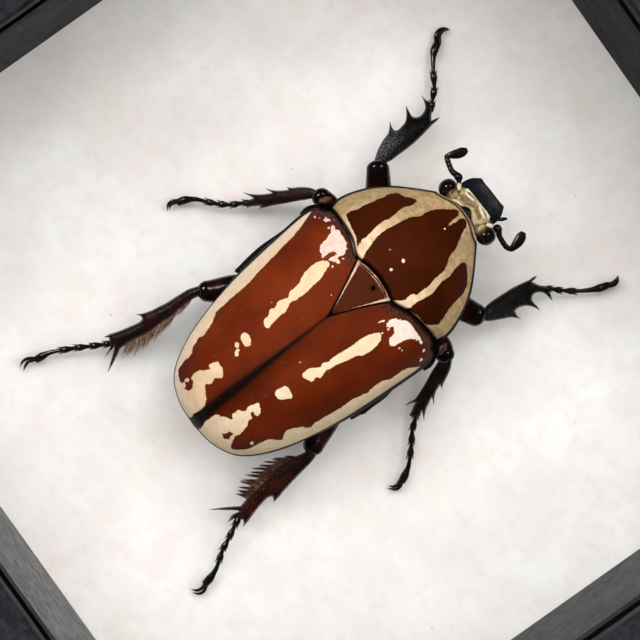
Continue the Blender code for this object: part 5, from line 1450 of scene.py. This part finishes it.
def foot_joint(start, end, pick):
    """A short joint that widens to its far end, with four spines there."""
    run = (end - start) / np.linalg.norm(end - start)
    side = np.cross(run, (0, 0, 1))
    heights = [w * 0.85 for w in JOINT_WIDTHS]
    parts = [limb((start, (start + end) / 2, end + run * 0.12), JOINT_WIDTHS, heights, 26, 16)]
    for sign in (-1, 1):
        for out in (0.45, 0.2):
            reach = pick.uniform(0.5, 0.85)
            root = end - run * 0.3 + side * sign * out
            tip = root + run * reach + side * sign * reach * 0.3 - np.array((0, 0, 0.15))
            parts.append(limb((root, (root + tip) / 2, tip), SPINE_WIDTHS, SPINE_WIDTHS, 6, 6))
    return parts


def make_foot(leg, material):
    """Short spiny joints, a long last joint and two hooked claws."""
    pick = np.random.default_rng(SPINE_SEED)
    high, low, tip_height = FOOT_FALL
    joints, last = FOOT_JOINTS[leg], LAST_JOINTS[leg]
    places = from_photo((*joints, *last), np.linspace(high, low, len(joints) + len(last)))
    parts = []
    for start, end in zip(places, places[1:len(joints)]):
        parts += foot_joint(start, end, pick)
    parts.append(limb(places[len(joints) - 1:], LAST_WIDTHS, [w * 0.8 for w in LAST_WIDTHS], 40, 16))
    for claw, lift in zip(CLAWS[leg], (0.15, -0.15)):
        t = np.linspace(0, 1, len(claw))
        heights = low + lift + (tip_height - low - lift) * t + 0.5 * np.sin(math.pi * t)
        widths = CLAW_WIDTHS.get(leg, CLAW_WIDTH)
        parts.append(limb(from_photo(claw, heights), widths, widths, 34, 12))
    verts, faces = joined(parts)
    dress(new_piece("foot_" + leg, verts, faces, False), material, "cuticle_black", "tarsus_" + leg)


def comb_bristles(leg, pick):
    """For each bristle of a comb: place along the shin, lean, length, gathering of its tip, and shade."""
    tufts, hairs, stray = FRINGES[leg][:3]
    near, far = FRINGE_ALONG[leg]
    longest, pale = FRINGE_REACH[leg], FRINGE_SHADE[leg]
    bristles = []
    for t in np.arange(tufts) / (tufts - 1):
        foot = near + (far - near) * t
        reach = longest * math.sin(math.pi * (0.15 + 0.7 * t)) ** 0.4 * pick.uniform(0.85, 1.12)
        lean = math.radians(np.interp(t, (0, 1), FRINGE_LEANS[leg]) * pick.uniform(0.92, 1.08))
        for _ in range(hairs):
            a = foot + pick.normal(0, 0.26)
            gather = (foot - a) * 0.95 + pick.normal(0, stray)
            length = reach * pick.uniform(0.7, 1.04)
            bristles.append((a, lean, length, gather, pale + pick.random() ** 2 * 0.8))
    for _ in range(UNDERFUR[leg]):
        a = pick.uniform(near, far)
        lean = math.radians(np.interp(a, (near, far), FRINGE_LEANS[leg]) + pick.uniform(-8, 8))
        bristles.append((a, lean, longest * pick.uniform(0.3, 0.6), 0.0, pale + pick.uniform(0.3, 0.7)))
    return bristles


def make_fringe(leg, material):
    """The comb of stiff bristles along the inner side of a hind tibia, each tuft drawn to a point."""
    at = tibia_frame(leg)
    pick = np.random.default_rng(FRINGE_SEED)
    thick, darkness = FRINGES[leg][3:]
    edge = on_shin(leg, SHIN_OUTLINES[leg][-1])[::-1]
    t = np.linspace(0, 1, HAIR_STEPS)
    width = thick * (1 - t**2.0 * 0.86)
    hairs, tips, patches = [], [], []
    for a, lean, length, gather, shade in comb_bristles(leg, pick):
        rise = pick.uniform(-0.45, 0.45)
        root = np.interp(a, edge[:, 0], edge[:, 1]) + 0.6
        out, down = math.sin(lean) * length, math.cos(lean) * length
        middle = at(a + out * 0.45 + gather * 0.5, root - down * 0.55) + (0, 0, rise * 0.6)
        end = at(a + out + gather, root - down) + (0, 0, rise * 0.2 - 0.3)
        path = curve_points((at(a, root) + (0, 0, rise), middle, end), HAIR_STEPS)
        hairs.append(tube_mesh(path, width, width, HAIR_SIDES))
        tips.append(np.repeat(np.clip(t**1.3 * darkness + shade, 0, 1), HAIR_SIDES))
        patches.append((a / 20, 0.5 + rise / 4))
    verts, faces = joined(hairs)
    made = new_piece("bristles_" + leg, verts, faces, False, {"tip": np.concatenate(tips)})
    lay_patches(made, patches)
    dress(made, material, "cuticle_brown")


def lay_patches(made, patches):
    """A map on which each bristle is a small patch at its root's place on the unrolled tibia."""
    mesh = made.data
    layer = mesh.uv_layers.new(name="OFBake")
    corner_vertex = np.zeros(len(mesh.loops), int)
    mesh.loops.foreach_get("vertex_index", corner_vertex)
    hair, within = np.divmod(corner_vertex, HAIR_STEPS * HAIR_SIDES)
    roots = np.array(patches)[np.minimum(hair, len(patches) - 1)]
    along, across = np.divmod(within, HAIR_SIDES)
    steps = np.stack([across / (HAIR_SIDES - 1), along / (HAIR_STEPS - 1)], axis=1)
    layer.data.foreach_set("uv", (roots + steps * PATCH).astype(np.float32).ravel())


def make_legs(thigh, black, bristles):
    """All six legs."""
    for leg in KNEES:
        pair = leg.split("_")[0]
        make_femur(leg, pair, thigh)
        make_foot(leg, black)
        at = tibia_frame(leg)
        knee, ahead = to_world([at(0, 0), at(1, 0)], False)
        turn = math.atan2(ahead[1] - knee[1], ahead[0] - knee[0])
        deep, bright, roughness, pit_depth = SHIN_LOOKS[leg]
        material = chitin_material("shin_" + leg, deep, bright, roughness, 0.42, pit_depth, "060405",
                                   gloss=SHIN_GLOSS[pair], turn=turn)
        make_tibia(leg, pair, material, "cuticle_brown" if pair == "hind" else "cuticle_black")
        if pair == "hind":
            make_fringe(leg, bristles)


# Case


def dress_nodes():
    """Gives the CAD nodes of the case and the pin their materials."""
    looks = {"case_board": board_material(), "case_paper": paper_material(), "pin": steel_material()}
    # Each wall's shades of stain differ by side as painted light and shade, and its top is painted black as
    # the slot's shadow
    for side, along, deep, bright, slot_shadow_from in WALL_STAIN_AND_SHADE:
        paint = wood_material("rail_paint_and_slot_shadow_" + side, *RAIL_PAINT, along, RAIL_SLOT_SHADOW, 0.4, 3.0)
        slot_shadow = (slot_shadow_from, WALL_TOP + 1)
        stain = wood_material("wall_stain_and_shade_" + side, deep, bright, along, slot_shadow, 0.25, 2.2)
        looks["case_rail_" + side], looks["case_wall_" + side] = paint, stain
    for name, material in looks.items():
        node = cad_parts[name]
        for slot in node.material_slots:
            slot.material = material
        if not node.material_slots:
            node.data.materials.append(material)


def make_mitre_glue():
    """A dark sliver in each mitre gap of the case."""
    glue = chitin_material("mitre_glue", "0a0a0b", "1c1c20", 0.6, 0.6, 0.05)
    count = len(MITRE_SECTION)
    for k, (right, ahead) in enumerate(((1, 1), (-1, 1), (-1, -1), (1, -1))):
        corner, level = np.array((right, ahead, 0)), np.array((-ahead, right, 0)) / math.sqrt(2)
        ends = [corner * (CASE_INNER + out) + level * thick + (0, 0, height)
                for thick in (-MITRE_HALF, MITRE_HALF) for out, height in MITRE_SECTION]
        mesh = bpy.data.meshes.new("mitre")
        mesh.from_pydata(np.array(ends) * MM, [], end_faces(2, count) + ring_faces(2, count))
        dress(settle(as_object("mitre_glue_" + str(k + 1), mesh)), glue, "case_paint")


# Studio


def add_light(name, place, size, power, glint=False):
    """A lamp towards the model. It doesn't show in the model's gloss, and a glint shows only there."""
    light = bpy.data.lights.new(name, "AREA")
    light.shape = "RECTANGLE"
    light.size, light.size_y = size
    light.energy = power
    lamp = bpy.data.objects.new(name, light)
    lamp.location = place
    lamp.visible_glossy, lamp.visible_diffuse = glint, not glint
    lamp.rotation_mode = "QUATERNION"
    lamp.rotation_quaternion = (Vector(LAMP_TARGET) - lamp.location).to_track_quat("-Z", "Y")
    bpy.context.scene.collection.objects.link(lamp)


def add_lamps():
    """The lamps, placed from the right and the top of the picture."""
    turn = math.radians(CAMERA_TURN[2])
    right = Vector((math.cos(turn), math.sin(turn), 0))
    up = Vector((-math.sin(turn), math.cos(turn), 0))
    for name, sideways, ahead, height, size, power in LAMPS:
        add_light(name, right * sideways + up * ahead + Vector((0, 0, height)), (size, size), power)
    for name, sideways, power in GLINTS:
        place = up * GLINT_PLACE[0] + right * sideways + Vector((0, 0, GLINT_PLACE[1]))
        add_light(name, place, GLINT_SIZE, power, True)


def add_camera():
    """The photograph's camera."""
    scene = bpy.context.scene
    camera = bpy.data.objects.new("camera", bpy.data.cameras.new("camera"))
    camera.data.sensor_width = SENSOR_WIDTH
    camera.data.lens = SENSOR_WIDTH * FOCAL_PIXELS / PHOTO_SIZE
    camera.data.clip_start = 0.01
    camera.location = Vector(CAMERA_PLACE) * MM
    camera.rotation_euler = [math.radians(a) for a in CAMERA_TURN]
    scene.collection.objects.link(camera)
    scene.camera = camera


def add_sky():
    """An even pale light from all round, dimmer where it is mirrored."""
    world = bpy.data.worlds.new("studio")
    world.use_nodes = True
    tree = world.node_tree
    sky = tree.nodes["Background"]
    sky.inputs["Color"].default_value = (1.0, 0.99, 0.98, 1)
    in_gloss = add_node(tree, "LightPath").outputs["Is Glossy Ray"]
    tree.links.new(spread(tree, in_gloss, 0.0, 1.0, SKY_LIGHT, SKY_GLOSS), sky.inputs["Strength"])
    bpy.context.scene.world = world


def add_floor():
    """A pale floor just under the case."""
    floor = as_object("floor", bpy.data.meshes.new("floor"))
    corners = [(x * FLOOR_REACH, y * FLOOR_REACH, -0.0002) for x, y in ((-1, -1), (1, -1), (1, 1), (-1, 1))]
    floor.data.from_pydata(corners, [], [(0, 1, 2, 3)])
    material, tree, surface = new_material("studio_floor", 0.8)
    finish_surface(tree, surface, blend(tree, noise(tree, 300), "dcdad6", "e2e0dc"))
    floor.data.materials.append(material)


def make_beetle():
    """All pieces of the beetle with their materials."""
    shells = {name: shell_material(name, *looks) for name, looks in SHELLS.items()}
    black = chitin_material("leg_black", "090707", "181010", 0.18, 0.4, 0.01, wave=0.02)
    thigh = chitin_material("thigh_brown", "0c0606", "2a0f0b", 0.16, 0.5, 0.015, "060505", 0.06)
    under = chitin_material("underside_black", "0d0a0a", "1d1614", 0.32, 0.5, 0.05)
    corner = chitin_material("shoulder_brown", "1f100b", "5c3522", 0.4, 0.3, 0.05)
    flank = chitin_material("flank_black", "050404", "150d0b", 0.6, 0.4, 0.06, gloss=(0.0, 0.1))
    plate = chitin_material("plate_black", "07070a", "1b1b24", 0.3, 0.3, 0.05, wave=0.12, gloss=(0.06, 0.3))
    eye = chitin_material("eye_black", "060505", "140d0b", 0.1, 0.09, 0.003, wave=0.01)
    face = head_material()
    for side in SIGNS:
        make_elytron(side, shells["wing_case_" + side + "_shell"])
        make_antenna(side, black)
    make_scutellum(shells["scutellum_dark"])
    make_pronotum(shells["pronotum_dark"])
    make_head(face)
    make_brows(face)
    make_palp(black)
    make_eyes(eye)
    make_clypeus(plate)
    make_trunk(under, corner)
    make_flanks(flank)
    make_legs(thigh, black, bristle_material())


def main():
    """The dressed part in its studio."""
    make_beetle()
    dress_nodes()
    make_mitre_glue()
    add_camera()
    add_lamps()
    add_sky()
    add_floor()
    bpy.context.scene.view_settings.view_transform = "Standard"


main()
